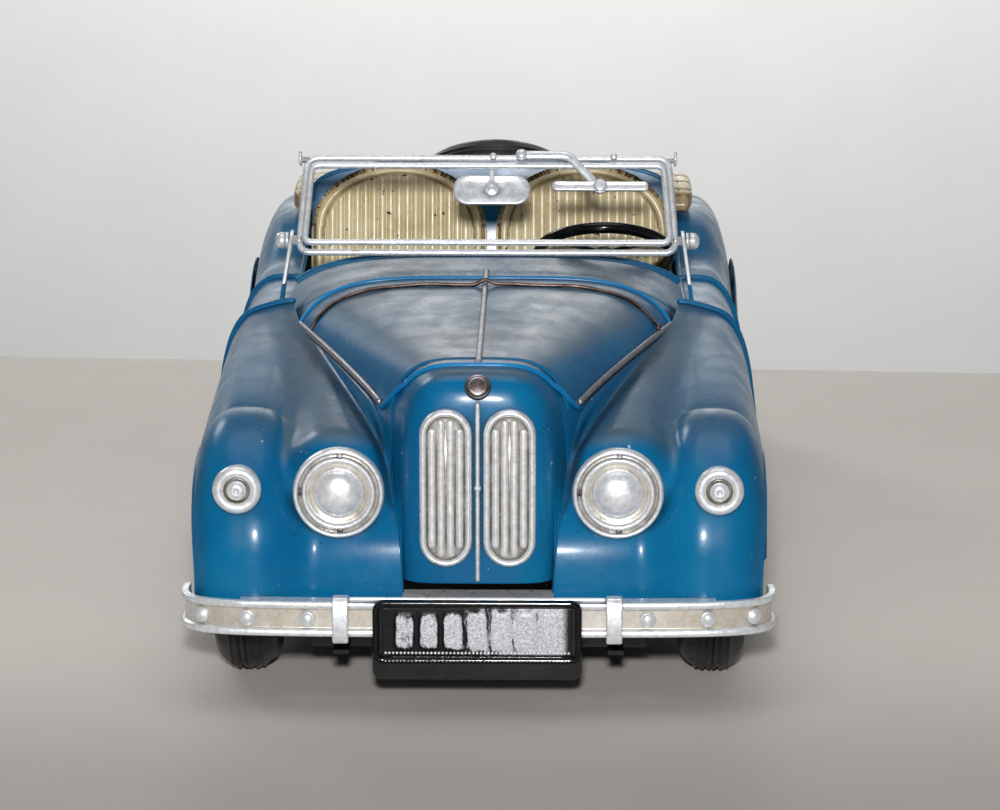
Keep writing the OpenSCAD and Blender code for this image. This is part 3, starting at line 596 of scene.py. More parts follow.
def blue_paint(name, film_amount):
    """Blue enamel with a grey film of dust and painted reflection on what faces up, grime and painted shade
    in its creases, chips and specks; its lighter blues, for the beads, are a painted highlight.
    """
    look = Look(name, Coat_Weight=0.13, Coat_Roughness=0.13, Specular_IOR_Level=0.12)
    # The lighter pair of blues, given to the beads, is a painted highlight; the darker pair is the body's own
    # blue.
    light = ("0d6fa8", "1482be") if film_amount < 0.5 else ("055a88", "076893")
    color = look.mix(look.span(look.noise(38, 4), 0.35, 0.7), rgb(light[0]), rgb(light[1]))
    blotches = look.span(look.noise(30, 3, 0.45), 0.25, 0.75, 0.5 * film_amount, 0.9 * film_amount)
    # Grey film on faces that point up: dust, and a painted reflection of the light above.
    dust_and_reflection = look.times(look.facing_up(0.62, 1.0), blotches)
    spot = look.add("ShaderNodeSeparateXYZ", {0: look.place})
    # The film of dust and painted reflection thins towards the tail and over the wing tops.
    dust_and_reflection = look.times(dust_and_reflection, look.span(spot.outputs[1], -0.04, 0.03, 1.0, 0.3))
    dust_and_reflection = look.times(dust_and_reflection, look.span(look.math("ABSOLUTE", spot.outputs[0]), 0.042, 0.054, 1.0, 0.5))
    color = look.mix(dust_and_reflection, color, rgb("56656f"))
    streaks = look.span(look.noise(110, 5, 0.6, 0.4), 0.56, 0.78)
    color = look.over(color, rgb("0a3346"), streaks, 0.14)
    # Darker in creases and where parts meet: grime, partly painted shade.
    crease = look.math("MAXIMUM", look.span(look.stain(), 0.12, 0.95), look.crevice(0.003, 0.3, 0.75))
    grime_and_shade = look.times(crease, look.span(look.noise(160, 5, 0.7), 0.15, 0.62, 0.45, 1.0))
    grime_and_shade_color = look.mix(look.span(look.noise(70, 3), 0.52, 0.66), rgb("0a2c3e"), rgb("33261e"))
    color = look.over(color, grime_and_shade_color, grime_and_shade, 0.78)
    chips = look.span(look.noise(520, 2, 0.4), 0.775, 0.79)
    color = look.mix(chips, color, rgb("a9b4b8"))
    specks = look.span(look.noise(1500, 1, 0.3), 0.755, 0.79)
    color = look.over(color, rgb("0a2432"), specks, 0.8)
    rough = look.math(
        "ADD", look.span(look.noise(130, 5, 0.6), 0.3, 0.75, 0.2, 0.42), look.times(grime_and_shade, 0.35)
    )
    peel = look.math("ADD", look.times(look.noise(900, 3), 0.5), look.times(look.noise(60, 3), 0.9))
    return look.finish(color, rough, peel, 0.07, 0.0003)


def silver_paint(name, base, worn, metallic):
    look = Look(name, Metallic=metallic, Coat_Weight=0.2, Coat_Roughness=0.15)
    color = look.mix(look.span(look.noise(700, 5, 0.7), 0.3, 0.7), rgb(base), rgb(worn))
    stain = look.times(look.stain(), look.span(look.noise(150, 4, 0.65), 0.2, 0.6, 0.35, 1.0))
    color = look.over(color, rgb("c0b39a"), stain, 0.75)
    spots = look.span(look.noise(85, 5, 0.75, 0.6), 0.6, 0.7)
    color = look.over(color, rgb("b08a45"), spots, 0.5)
    # Dark brown where parts meet and in creases: grime, partly painted shade.
    crease = look.crevice(0.0012, 0.25, 0.8)
    grime_and_shade = look.times(crease, look.span(look.noise(300, 4), 0.25, 0.6, 0.4, 1.0))
    color = look.mix(look.times(grime_and_shade, 0.8), color, look.mix(look.noise(110), rgb("1d1712"), rgb("5a4326")))
    rough = look.span(look.noise(420, 5, 0.7), 0.25, 0.75, 0.22, 0.46)
    height = look.math("ADD", look.times(look.noise(1300, 4), 0.6), look.times(look.noise(330, 3), 0.6))
    return look.finish(color, rough, height, 0.3)


def cream_paint():
    look = Look("cream_paint", Coat_Weight=0.3, Coat_Roughness=0.25)
    color = look.mix(look.span(look.noise(120, 5, 0.65), 0.3, 0.7), rgb("d6c79c"), rgb("bda878"))
    color = look.mix(look.span(look.noise(430, 3), 0.58, 0.7, 0.0, 0.5), color, rgb("d8cba6"))
    # Brown in creases, grooves, under the hood roll and where parts meet: grime, partly painted shade.
    crease = look.math("MAXIMUM", look.span(look.stain(), 0.2, 1.0), look.crevice(0.0016, 0.3, 0.8))
    grime_and_shade = look.times(crease, look.span(look.noise(210, 5, 0.7), 0.3, 0.62, 0.35, 1.0))
    color = look.over(color, rgb("5a3216"), grime_and_shade, 0.85)
    specks = look.span(look.noise(900, 1, 0.2), 0.735, 0.77)
    color = look.mix(specks, color, rgb("3a2614"))
    rough = look.span(look.noise(300, 4), 0.3, 0.7, 0.3, 0.5)
    return look.finish(color, rough, look.noise(800, 4), 0.2)


def black_gloss(name, base, low, high, coat):
    look = Look(name, Coat_Weight=coat, Coat_Roughness=0.06, Specular_IOR_Level=0.25)
    color = look.mix(look.span(look.noise(260, 5, 0.7), 0.4, 0.75), rgb(base), rgb("141417"))
    dust = look.span(look.noise(1100, 2, 0.5), 0.7, 0.78)
    color = look.over(color, rgb("3b3a39"), dust, 0.5)
    rough = look.span(look.noise(190, 5, 0.7), 0.3, 0.75, low, high)
    return look.finish(color, rough, look.noise(700, 3), 0.12)


def tyre_rubber():
    look = Look("tyre_rubber", Specular_IOR_Level=0.4)
    color = look.mix(look.span(look.noise(210, 5, 0.7), 0.4, 0.7), rgb("111112"), rgb("25242a"))
    color = look.mix(look.times(look.facing_up(0.2, 1.0), 0.12), color, rgb("70706f"))
    rough = look.span(look.noise(160, 4), 0.3, 0.7, 0.32, 0.55)
    return look.finish(color, rough, look.noise(1400, 4), 0.3)


def metal(name, base, worn, low, high, stretch=None):
    look = Look(name, Metallic=0.9)
    color = look.mix(look.span(look.noise(240, 5, 0.7), 0.35, 0.7), rgb(base), rgb(worn))
    # Dark brown where parts meet and in creases: grime, partly painted shade.
    grime_and_shade = look.crevice(0.0015, 0.25, 0.8)
    color = look.over(color, rgb("2a1c10"), grime_and_shade, 0.7)
    rough = look.span(look.noise(500, 5, 0.7, stretch=stretch), 0.25, 0.75, low, high)
    return look.finish(color, rough, look.noise(900, 5, 0.7, stretch=stretch), 0.25)


def scuffed_face():
    """Black enamel with silver rubbed over its raised parts, heaviest on the +X half."""
    look = Look("scuffed_face", Coat_Weight=0.1, Specular_IOR_Level=0.2)
    spots = look.add("ShaderNodeSeparateXYZ", {0: look.place})
    lean = look.span(spots.outputs[0], -0.018, 0.016, -0.16, 0.3)
    rub = look.math("ADD", look.noise(330, 6, 0.8, 0.8, stretch=(1.5, 1, 0.6)), lean)
    rub = look.math("ADD", rub, look.times(look.stain(), 0.42))
    edge = look.span(look.math("ABSOLUTE", spots.outputs[0]), 0.0185, 0.0205)
    silver = look.math("SUBTRACT", look.span(rub, 0.62, 0.78), edge)
    fine = look.span(look.noise(2600, 2), 0.35, 0.65, 0.55, 1.0)
    color = look.mix(look.times(silver, fine), rgb("060607"), rgb("d3d5da"))
    rough = look.span(look.noise(700, 4), 0.3, 0.7, 0.2, 0.5)
    return look.finish(color, rough, look.noise(1600, 4), 0.35)


BLUE = blue_paint("blue_paint", 1.0)
# The beads take the lighter blues and little film: a painted highlight on the rolled edges.
HIGHLIGHT_BEAD_BLUE = blue_paint("blue_bead_highlight_paint", 0.12)
SILVER = silver_paint("silver_paint", "d2d6da", "f2f4f6", 0.5)
AGED = silver_paint("aged_silver_paint", "7d7a7e", "a3a3a8", 0.5)
CREAM = cream_paint()
BLACK = black_gloss("black_paint", "0b0b0c", 0.2, 0.42, 0.08)
PLASTIC = black_gloss("black_plastic", "070708", 0.08, 0.2, 0.08)
RUBBER = tyre_rubber()
WIRE = metal("wire_steel", "77655f", "4a3934", 0.3, 0.5)
BRASS = metal("gear_brass", "b9984f", "8a6a2c", 0.25, 0.45)
FLYWHEEL = metal("flywheel_metal", "8d8f92", "6a6b6e", 0.22, 0.4, (1, 6, 6))
LAMP_METAL = metal("lamp_metal", "c6c8ca", "8e8f90", 0.18, 0.34)
BADGE = metal("dull_badge", "7d7880", "54443c", 0.3, 0.5)
FACE = scuffed_face()
LOOK_OF_SLOT = {
    "blue_paint": BLUE,
    "silver_paint": SILVER,
    "cream_paint": CREAM,
    "black_paint": BLACK,
    "black_plastic": PLASTIC,
    "tyre_rubber": RUBBER,
    "wire_steel": WIRE,
    "gear_brass": BRASS,
    "flywheel_metal": FLYWHEEL,
    "lamp_metal": LAMP_METAL,
    "dull_badge": BADGE,
}


# ---------------------------------------------------------------- pressed panels


def front_wings():
    top_rows, turn_rows, flat_cols, side_cols = 64, 90, 60, 64
    i = np.arange(top_rows + turn_rows + 1)
    j = np.arange(flat_cols + side_cols + 1)
    y = np.interp(i, [0, top_rows], [FRONT_SEAM - 0.2, WING_TURN])
    turned = np.maximum(0, i - top_rows) / turn_rows
    ahead = NOSE_HALF + 0.6 + (strip_x(WING_TURN) + 0.3 - NOSE_HALF - 0.6) * (1 - turned) ** 2.4
    inner = np.where(i <= top_rows, strip_x(y) + 0.3, ahead)
    x = inner[:, None] + (WING_X - inner[:, None]) * np.minimum(1, j / flat_cols)[None, :]
    start = np.stack([x, np.broadcast_to(y[:, None], x.shape), np.full_like(x, SILL_Z)], -1)
    out = np.maximum(0, j - flat_cols) / side_cols
    grid = hit(front_field, start, fan(out[None, :], turned[:, None]))
    for side, node in ((1, "front_wing_right"), (-1, "front_wing_left")):
        panel(node + "_panel", grid, node, arch=FRONT_AXLE, side=side)


def bonnet_grid(y0, y1, rows, cols, widest=99.0):
    y = np.linspace(y0, y1, rows)
    u = np.sin(np.linspace(-math.pi / 2, math.pi / 2, cols))
    x = (np.minimum(strip_x(y), widest) - 0.2)[:, None] * u[None, :]
    start = np.stack([x, np.broadcast_to(y[:, None], x.shape), np.full_like(x, 50)], -1)
    return hit(bonnet_field, start, UP)


def nose_shell():
    rows, back_rows, half_cols, flat_cols = 80, 12, 50, 22
    i = np.arange(back_rows + rows + 1)
    j = np.arange(2 * half_cols + 1) - half_cols
    x = np.sign(j) * np.minimum(1, np.abs(j) / flat_cols) * 11
    out = np.sign(j) * np.maximum(0, np.abs(j) - flat_cols) / (half_cols - flat_cols) * 0.98
    y = np.interp(i, [0, back_rows], [-121, -134.5])
    way = fan(out[None, :], np.maximum(0, i - back_rows)[:, None] / rows)
    start = np.stack(np.broadcast_arrays(x[None, :], y[:, None], 28.0), -1)
    panel("nose_panel", hit(nose_field, start, way), "nose_shell")
    x, y = np.meshgrid(np.linspace(-34, 34, 130), np.linspace(-146, -100, 90))
    start = np.stack([x, y, np.full_like(x, 25)], -1)
    under = hit(lap_field, start, UP).reshape(-1, 3)
    verts, faces = clip(under - 1.1 * UP, grid_faces(90, 130).tolist(), under[:, 2] - 30)
    detail("nose_lap_joint", (verts, faces), BLUE, "nose_shell", solid=False)


def doors():
    rows, flat_cols, side_cols = 50, 8, 60
    y = np.linspace(FRONT_SEAM, REAR_SEAM, rows)
    j = np.arange(flat_cols + side_cols + 1)
    x = COCKPIT_X + (WING_X - COCKPIT_X) * np.minimum(1, j / flat_cols)
    out = np.maximum(0, j - flat_cols) / side_cols
    start = np.stack(np.broadcast_arrays(x[None, :], y[:, None], SILL_Z), -1)
    grid = hit(door_field, start, fan(out[None, :], np.zeros(rows)[:, None]))
    for side, node in ((1, "door_right"), (-1, "door_left")):
        panel(node + "_panel", grid, node, flip=True, side=side)


def rear_wings():
    flat_rows, back_rows, flat_cols, side_cols = 90, 70, 20, 60
    turn = TAIL_REACH - 40
    i = np.arange(flat_rows + back_rows + 1)
    j = np.arange(flat_cols + side_cols + 1)
    y = np.interp(i, [0, flat_rows], [REAR_SEAM + 0.2, turn])
    inner = np.interp(y, [80, 100], [COCKPIT_X, DECK_VALLEY])
    x = inner[:, None] + (WING_X - inner[:, None]) * np.minimum(1, j / flat_cols)[None, :]
    start = np.stack(np.broadcast_arrays(x, y[:, None], SILL_Z), -1)
    out = np.maximum(0, j - flat_cols) / side_cols
    back = np.maximum(0, i - flat_rows) / back_rows
    grid = hit(rear_field, start, fan(out[None, :], back[:, None]) * BACKWARD)
    for side, node in ((1, "rear_wing_right"), (-1, "rear_wing_left")):
        panel(node + "_panel", grid, node, arch=REAR_AXLE, flip=True, side=side)


def rear_deck():
    flat_rows, back_rows, cols = 20, 70, 90
    turn = TAIL_REACH - 40
    i = np.arange(flat_rows + back_rows + 1)
    y = np.interp(i, [0, flat_rows], [DECK_FRONT, turn])
    back = np.maximum(0, i - flat_rows) / back_rows
    x = np.linspace(-(DECK_VALLEY - 0.3), DECK_VALLEY - 0.3, cols)
    way = fan(np.zeros(cols)[None, :], back[:, None]) * BACKWARD
    start = np.stack(np.broadcast_arrays(x[None, :], y[:, None], SILL_Z), -1)
    panel("rear_deck_panel", hit(rear_field, start, way), "rear_deck", flip=True)


def on_bonnet(x, y, lift=0.0):
    """Points on the bonnet or the nose above x and y."""
    x, y = np.broadcast_arrays(np.asarray(x, float), np.asarray(y, float))
    p = hit(crown_field, np.stack([x, y, np.full_like(x, 45)], -1), UP)
    return p + lift * UP


def round_the_side(field, y, inner, sunk=0.1):
    """Points over a wing at one place along the car, from inner round and down to the sill."""
    x = np.concatenate([np.linspace(inner, WING_X, 12), np.full(60, WING_X)])
    out = np.concatenate([np.zeros(12), np.linspace(0, 1, 61)[1:]])
    start = np.stack([x, np.full_like(x, y), np.full_like(x, SILL_Z)], 1)
    return hit(field, start, fan(out, np.zeros_like(out))) - sunk * UP


def arch_lip(field, y):
    """Points round a wheel arch on the outer skin."""
    a = np.radians(np.linspace(-9, 189, 80))
    start = np.stack([np.full_like(a, 44.0), y + ARCH_R * np.cos(a), AXLE_Z + ARCH_R * np.sin(a)], 1)
    return hit(field, start, np.array([1.0, 0, 0])) - np.array([0.35, 0, 0])


def beads():
    """Rolled edges and raised seams of the pressed panels."""
    seam = tube(round_the_side(front_field, FRONT_SEAM, 48.4, -0.35), 0.85, up=(0, 1, 0))
    seam[0][:, 0] = np.minimum(seam[0][:, 0], 68.05)
    detail("wing_seam_beads", both(seam), BLUE, "front_wing_right")
    seam = tube(round_the_side(rear_field, REAR_SEAM, COCKPIT_X + 0.4, -0.1), 0.9, up=(0, 1, 0))
    detail("door_seam_beads", both(seam), BLUE, "rear_wing_right")
    arches = ((front_field, FRONT_AXLE), (rear_field, REAR_AXLE))
    lips = join(*(tube(arch_lip(field, y), 0.6, up=(1, 0, 0)) for field, y in arches))
    detail("arch_lips", both(lips), BLUE, "front_wing_right")
    x = 46.4 * np.sin(np.linspace(-math.pi / 2, math.pi / 2, 120))
    edge = tube(on_bonnet(x, -45.1 - 11 * (np.abs(x) / 46.4) ** 7, 0.1), 0.62)
    detail("bonnet_rear_bead", edge, HIGHLIGHT_BEAD_BLUE, "bonnet")
    x = 48.6 * np.sin(np.linspace(-math.pi / 2, math.pi / 2, 60))
    roll = tube(on_bonnet(x, SCUTTLE_REAR - 0.5, -0.2), 0.8)
    lines = join(roll, tube(on_bonnet(x * 0.99, SCUTTLE_REAR - 3.6, -0.3), 0.6))
    detail("scuttle_rolled_edge", lines, BLUE, "scuttle")
    x = np.linspace(-22.4, 22.4, 70)
    arch = tube(on_bonnet(x, -140.6 + 12.6 * (np.abs(x) / 22.4) ** 4, 0.1), 0.68)
    detail("nose_arch_bead", arch, HIGHLIGHT_BEAD_BLUE, "nose_shell")
    rims = np.linspace(FRONT_SEAM, REAR_SEAM, 40)
    start = np.stack([np.full(40, COCKPIT_X + 0.1), rims, np.full(40, SILL_Z)], 1)
    door_rim = tube(hit(door_field, start, UP), 0.75)
    rims = np.linspace(REAR_SEAM, 92, 60)
    edge = np.interp(rims, [80, 100], [COCKPIT_X, DECK_VALLEY]) + 0.1
    start = np.stack([edge, rims, np.full(60, SILL_Z)], 1)
    wing_rim = tube(hit(rear_field, start, UP), 0.75)
    detail("cockpit_rims", both(join(door_rim, wing_rim)), BLUE, "door_right")


def wheel_spats():
    """Half-round covers over the rear wheels, with a pressed ring."""
    r = np.concatenate([np.linspace(0, 33.5, 30), np.linspace(34, 37, 12)])
    a = np.linspace(-math.pi, math.pi, 121)
    rr, aa = np.meshgrid(r, a, indexing="ij")
    bulge = 0.95 * (1 - (rr / 37) ** 10) - 0.45 * np.exp(-(((rr - 31.5) / 0.7) ** 2))
    points = np.stack([67.12 + bulge, REAR_AXLE + 3 + rr * np.cos(aa), 26 + rr * np.sin(aa)], -1)
    verts = points.reshape(-1, 3)
    verts, faces = clip(verts, grid_faces(len(r), len(a)).tolist(), verts[:, 2] - 20)
    for side, name in ((1, "wheel_spat_right"), (-1, "wheel_spat_left")):
        polys = faces if side < 0 else [f[::-1] for f in faces]
        obj = thicken(add_object(name, verts * np.array([side, 1, 1]), polys), 0.35)
        attach(obj, BLUE, "wheel_spats", stands_for=side > 0)


# ---------------------------------------------------------------- nose trim and lamps

FACE_Y = -151.0
GRILLE_X = 7.1
GRILLE_Z = 50.0
SLAT_PITCH = 2.05
LAMP = (LAMP_X, -143.2, 47.2)
PARK = (54.0, -147.2, 48.6)
BADGE_AT = (0, -148.6, 72.2)
BADGE_TILT = 62
TAIL_LAMP = (47, 144, 52)


def on_face(mesh, x, y, z):
    """Stands a drawing in its own plane up to face forward."""
    return placed(mesh[0], (x, y, z), 90), mesh[1]


def grilles():
    """Two oval rims, each round a fluted plate."""
    rims, slats = [], []
    for side in (-1, 1):
        loop = np.column_stack([even_loop(rounded_bar(5.05, 17.15), 120), np.zeros(120)])
        rims.append(
            on_face(sweep(loop, half_round(0.9, 2.1), closed=True), side * GRILLE_X, FACE_Y + 0.3, GRILLE_Z)
        )
        slats.append(on_face(plate(rounded_bar(4.6, 16.7), 0, 1.25), side * GRILLE_X, FACE_Y + 0.3, GRILLE_Z))
        for k in (-1.5, -0.5, 0.5, 1.5):
            reach = 11.9 + math.sqrt(4.4**2 - (abs(k) * SLAT_PITCH + 0.85) ** 2) - 1.0
            path = np.column_stack([np.zeros(30), np.linspace(-reach, reach, 30), np.zeros(30)])
            path, size = round_ends(path, 0.85)
            rib = sweep(path, half_round(0.9, 0.75), size=size)
            slats.append(on_face(rib, side * GRILLE_X + k * SLAT_PITCH, FACE_Y - 0.85, GRILLE_Z))
    piece("grille_rims", join(*rims), SILVER, "grille_surrounds")
    verts, faces = join(*slats)
    stain = 0.25 + 0.75 * (verts[:, 1] > FACE_Y - 1.1)
    piece("grille_flutes", (verts, faces), SILVER, "grille_slats", stain=stain, solid=False)


def nose_strip():
    path = np.column_stack([np.zeros(60), np.linspace(-19.9, 19.9, 60), np.zeros(60)])
    path, size = round_ends(path, 0.6)
    strip = on_face(sweep(path, half_round(0.6, 1.7), size=size), 0, FACE_Y + 0.3, 49)
    bead = lathe(dome(0.95, 1.5), (0, FACE_Y, GRILLE_Z), FORWARD, 32)
    piece("nose_centre_strip", join(strip, bead), SILVER, "nose_strip")


def nose_badge():
    """A plain domed disc with a pale crescent at its foot."""
    aim = (0, -math.sin(math.radians(BADGE_TILT)), math.cos(math.radians(BADGE_TILT)))
    rim = [(0, -0.4), (2.6, -0.4), (2.9, 0), (2.9, 1.1), (2.75, 1.35), (2.5, 1.4), (2.3, 1.15), (2.1, 1.05)]
    disc = lathe(rim + [(1.6, 1.2), (1.0, 1.32), (0, 1.4)], BADGE_AT, aim)
    piece("badge_disc", disc, BADGE, "nose_badge")
    a = np.radians(np.linspace(205, 335, 30))
    path = np.stack([1.75 * np.cos(a), 1.75 * np.sin(a), np.full(30, 1.15)], 1)
    size = np.sin(np.linspace(0.12, math.pi - 0.12, 30))
    crescent = sweep(path, circle(0.42, 10), size=size)
    verts = placed(crescent[0], BADGE_AT, BADGE_TILT)
    detail("badge_crescent", (verts, crescent[1]), SILVER, "nose_badge")


def headlamps():
    """Stepped bezels with three clips each, dished rings and domed centres."""
    rims, dishes, domes, clips = [], [], [], []
    bezel = [
        (9.0, -5), (9.6, -4), (10.1, -1.6), (10.35, 0), (10.35, 0.9), (10.25, 1.6), (10.0, 2.15),
        (9.65, 2.35), (9.35, 2.2), (9.15, 1.8), (9.05, 1.1), (9.0, 0.6),
    ]
    inner = [(8.35, 0.6), (8.35, 1.4), (8.2, 1.95), (7.9, 2.25), (7.55, 2.25), (7.3, 2.0), (7.15, 1.6)]
    dish = [(9.1, 0.75), (8.3, 0.7), (7.2, 1.5), (6.7, 1.25), (6.2, 1.02), (5.6, 0.95), (0, 0.95)]
    bulb = [
        (5.7, 0.9), (5.75, 1.1), (5.6, 1.6), (5.15, 2.4), (4.5, 3.05), (3.6, 3.6), (2.5, 3.95), (1.2, 4.15),
        (0, 4.2),
    ]
    for side in (-1, 1):
        origin = (side * LAMP[0], LAMP[1], LAMP[2])
        rims += [lathe(bezel, origin, FORWARD, 96), lathe(inner, origin, FORWARD, 96)]
        dishes.append(lathe(dish, origin, FORWARD, 96))
        domes.append(lathe(bulb, origin, FORWARD, 72))
        for angle in (88, 178, 272):
            c, s = math.cos(math.radians(angle)), math.sin(math.radians(angle))
            path = np.array([[r * c, r * s, 1.55 + 0.25 * (r < 8.6)] for r in (8.1, 8.4, 8.7, 9.0, 9.3)])
            clips.append(on_face(sweep(path, rounded_rect(0.65, 0.28, 0.2, 3)), *origin))
    piece("headlamp_bezels", join(*rims), SILVER, "headlamp_rims", solid=False)
    mesh = join(*dishes)
    detail("headlamp_dishes", mesh, SILVER, "headlamp_rims", stain=np.full(len(mesh[0]), 0.8), solid=False)
    piece("headlamp_bulbs", join(*domes), SILVER, "headlamp_domes", solid=False)
    detail("headlamp_clips", join(*clips), BADGE, "headlamp_rims")


def parking_lamps():
    """Small stepped shells with a stained groove round the centre."""
    profile = [
        (4.2, -6), (4.6, -5.6), (5.2, -2.4), (5.5, 0), (5.5, 0.6), (5.3, 1.2), (4.8, 1.75), (4.2, 1.95),
        (3.5, 1.75), (3.0, 1.35), (2.8, 0.8), (2.7, 0.2), (2.4, 0.15), (2.35, 1.0), (2.2, 1.5), (1.8, 1.95),
        (1.2, 2.3), (0.7, 2.4), (0.55, 2.3), (0.35, 2.1), (0, 2.05),
    ]
    lamps = [lathe(profile, (side * PARK[0], PARK[1], PARK[2]), FORWARD, 72) for side in (-1, 1)]
    verts, faces = join(*lamps)
    r = np.hypot(np.abs(verts[:, 0]) - PARK[0], verts[:, 2] - PARK[2])
    stain = np.exp(-(((r - 2.7) / 0.35) ** 2))
    piece("parking_lamp_shells", (verts, faces), SILVER, "parking_lamps", stain=stain, solid=False)


def tail_lamps():
    turn = math.radians(-80)
    aim = (0, -math.sin(turn), math.cos(turn))
    profile = [
        (3.6, -6), (4.0, -5.8), (4.3, 0), (4.6, 4.4), (4.7, 5.0), (4.6, 5.5), (4.2, 5.8), (4.1, 6.3),
        (3.7, 7.0), (2.9, 7.7), (1.8, 8.2), (0.8, 8.38), (0, 8.4),
    ]
    lamps = [lathe(profile, (side * TAIL_LAMP[0], *TAIL_LAMP[1:]), aim, 64) for side in (-1, 1)]
    piece("tail_lamp_shells", join(*lamps), LAMP_METAL, "tail_lamps", solid=False)


# ---------------------------------------------------------------- bumpers and number plate

BUMPER_Z = 21.1
BUMPER_TURN = math.radians(95)
BUMPER_SWEEP = 16
BUMPER_BOW = 2.5
BAR_STEPS = 97
SHELF_STEPS = 81
FRONT_REACH = 157.4
REAR_REACH = 158.2
RIVET_X = (38, 51.5, 62)
OVERRIDER_X = 30.5
PLATE_Z = 18.9
BLOCK_PITCH = 5.4
BLOCK_LIFT = 0.34
RIVET = [
    (1.85, -0.3), (1.86, 0.2), (1.7, 0.42), (1.5, 0.45), (1.35, 0.62), (1.0, 0.9), (0.5, 1.08), (0, 1.12)
]


def bow(reach, inset, count=BAR_STEPS, half=1.0):
    """The bumper's line round the car, half of 1 being its whole length."""
    a = np.linspace(-half, half, count)
    x = (HALF_WIDTH - inset) * np.sin(BUMPER_TURN * a) / math.sin(BUMPER_TURN)
    y = inset - reach + BUMPER_SWEEP * np.abs(a) ** 5 + BUMPER_BOW * a * a
    return np.stack([x, y, np.full(count, BUMPER_Z)], 1)


def bumper(reach, flange_back):
    """Channel-shaped bar with a rolled lip along each edge, a shelf on top and two arms."""
    back = [(-1.8, -3.95), (-0.55, -4.0)]
    low = [(-0.18, -3.88), (0.0, -3.5), (0.0, -2.95), (-0.22, -2.5), (-0.7, -2.3), (-1.0, -2.1)]
    section = back + low + [(a, -b) for a, b in (low[::-1] + back[::-1])]
    bar = sweep(bow(reach, 0), section)
    m = len(section)
    stain = np.tile([1.0 if 7 <= k < m - 7 else 0.0 for k in range(m)], BAR_STEPS)
    front = bow(reach, 1.0, SHELF_STEPS, 0.565)
    rear_y = flange_back - reach + 1.2 * (np.abs(front[:, 0]) / 52) ** 6
    low, high = BUMPER_Z + 2.85, BUMPER_Z + 3.6
    corners = ((front[:, 1], low), (front[:, 1], high), (rear_y, high), (rear_y, low))
    rings = [np.column_stack([front[:, 0], y, np.full(SHELF_STEPS, z)]) for y, z in corners]
    shelf = np.stack(rings, 1).reshape(-1, 3), ring_faces(SHELF_STEPS, 4, False)
    arm = plate([(-2, 0), (2, 0), (2, 17), (-2, 17)], 0, 1.2)
    arms = [moved(arm, (side * 31, 1.8 - reach, BUMPER_Z - 3.8)) for side in (-1, 1)]
    mesh = join(bar, shelf, *arms)
    return mesh, np.concatenate([stain, np.zeros(len(mesh[0]) - len(stain))])


def turned_round(mesh):
    return mesh[0] * np.array([-1, -1, 1]), mesh[1]


def bumpers():
    mesh, stain = bumper(FRONT_REACH, 6.6)
    piece("front_bumper_bar", mesh, SILVER, "front_bumper", stain=stain, edges=(0.16, 2))
    mesh, stain = bumper(REAR_REACH, 4.4)
    piece("rear_bumper_bar", turned_round(mesh), SILVER, "rear_bumper", stain=stain, edges=(0.16, 2))
    heads, guards = [], []
    for reach, spin in ((FRONT_REACH, False), (REAR_REACH, True)):
        for side in (-1, 1):
            for x in RIVET_X:
                a = math.asin(x * math.sin(BUMPER_TURN) / HALF_WIDTH) / BUMPER_TURN
                y = 0.95 - reach + BUMPER_SWEEP * a**5 + BUMPER_BOW * a * a
                yaw = math.radians(30 if x > 60 else 8)
                aim = (side * math.sin(yaw), -math.cos(yaw), 0)
                head = lathe(RIVET, (side * x, y, BUMPER_Z), aim, 32)
                heads.append(turned_round(head) if spin else head)
            outline = [
                (-0.1, -5.4), (-0.8, -5.0), (-1.3, -3.6), (-1.7, -1.6), (-1.8, 0.4), (-1.6, 2.4),
                (-1.15, 4.3), (-0.5, 5.2), (0.3, 5.3), (2.5, 5.3), (2.5, 4.15), (-0.1, 4.1),
            ]
            points, faces = plate([(-y, z) for y, z in outline], -1.8, 1.8)
            guard = np.stack(
                [points[:, 2] + side * OVERRIDER_X, -points[:, 0] - reach, points[:, 1] + BUMPER_Z], 1
            ), faces
            guards.append(turned_round(guard) if spin else guard)
    piece("bumper_rivet_heads", join(*heads), SILVER, "bumper_rivets")
    tie = np.column_stack(
        [np.linspace(-28.2, 28.2, 60), np.full(60, 0.3 - FRONT_REACH), np.full(60, BUMPER_Z + 4.75)]
    )
    mesh = join(*guards, tube(tie, 0.54))
    shelf = plate([(-17, 144), (17, 144), (17, 151.5), (-17, 151.5)], 24.3, 24.9)
    shelf = shelf[0] * np.array([1, -1, 1]), [list(f)[::-1] for f in shelf[1]]
    detail("front_bumper_shelf", shelf, SILVER, "front_bumper", edges=(0.2,))
    piece("overriders_and_tie_bar", mesh, SILVER, "overriders", edges=(0.45, 3, 40))


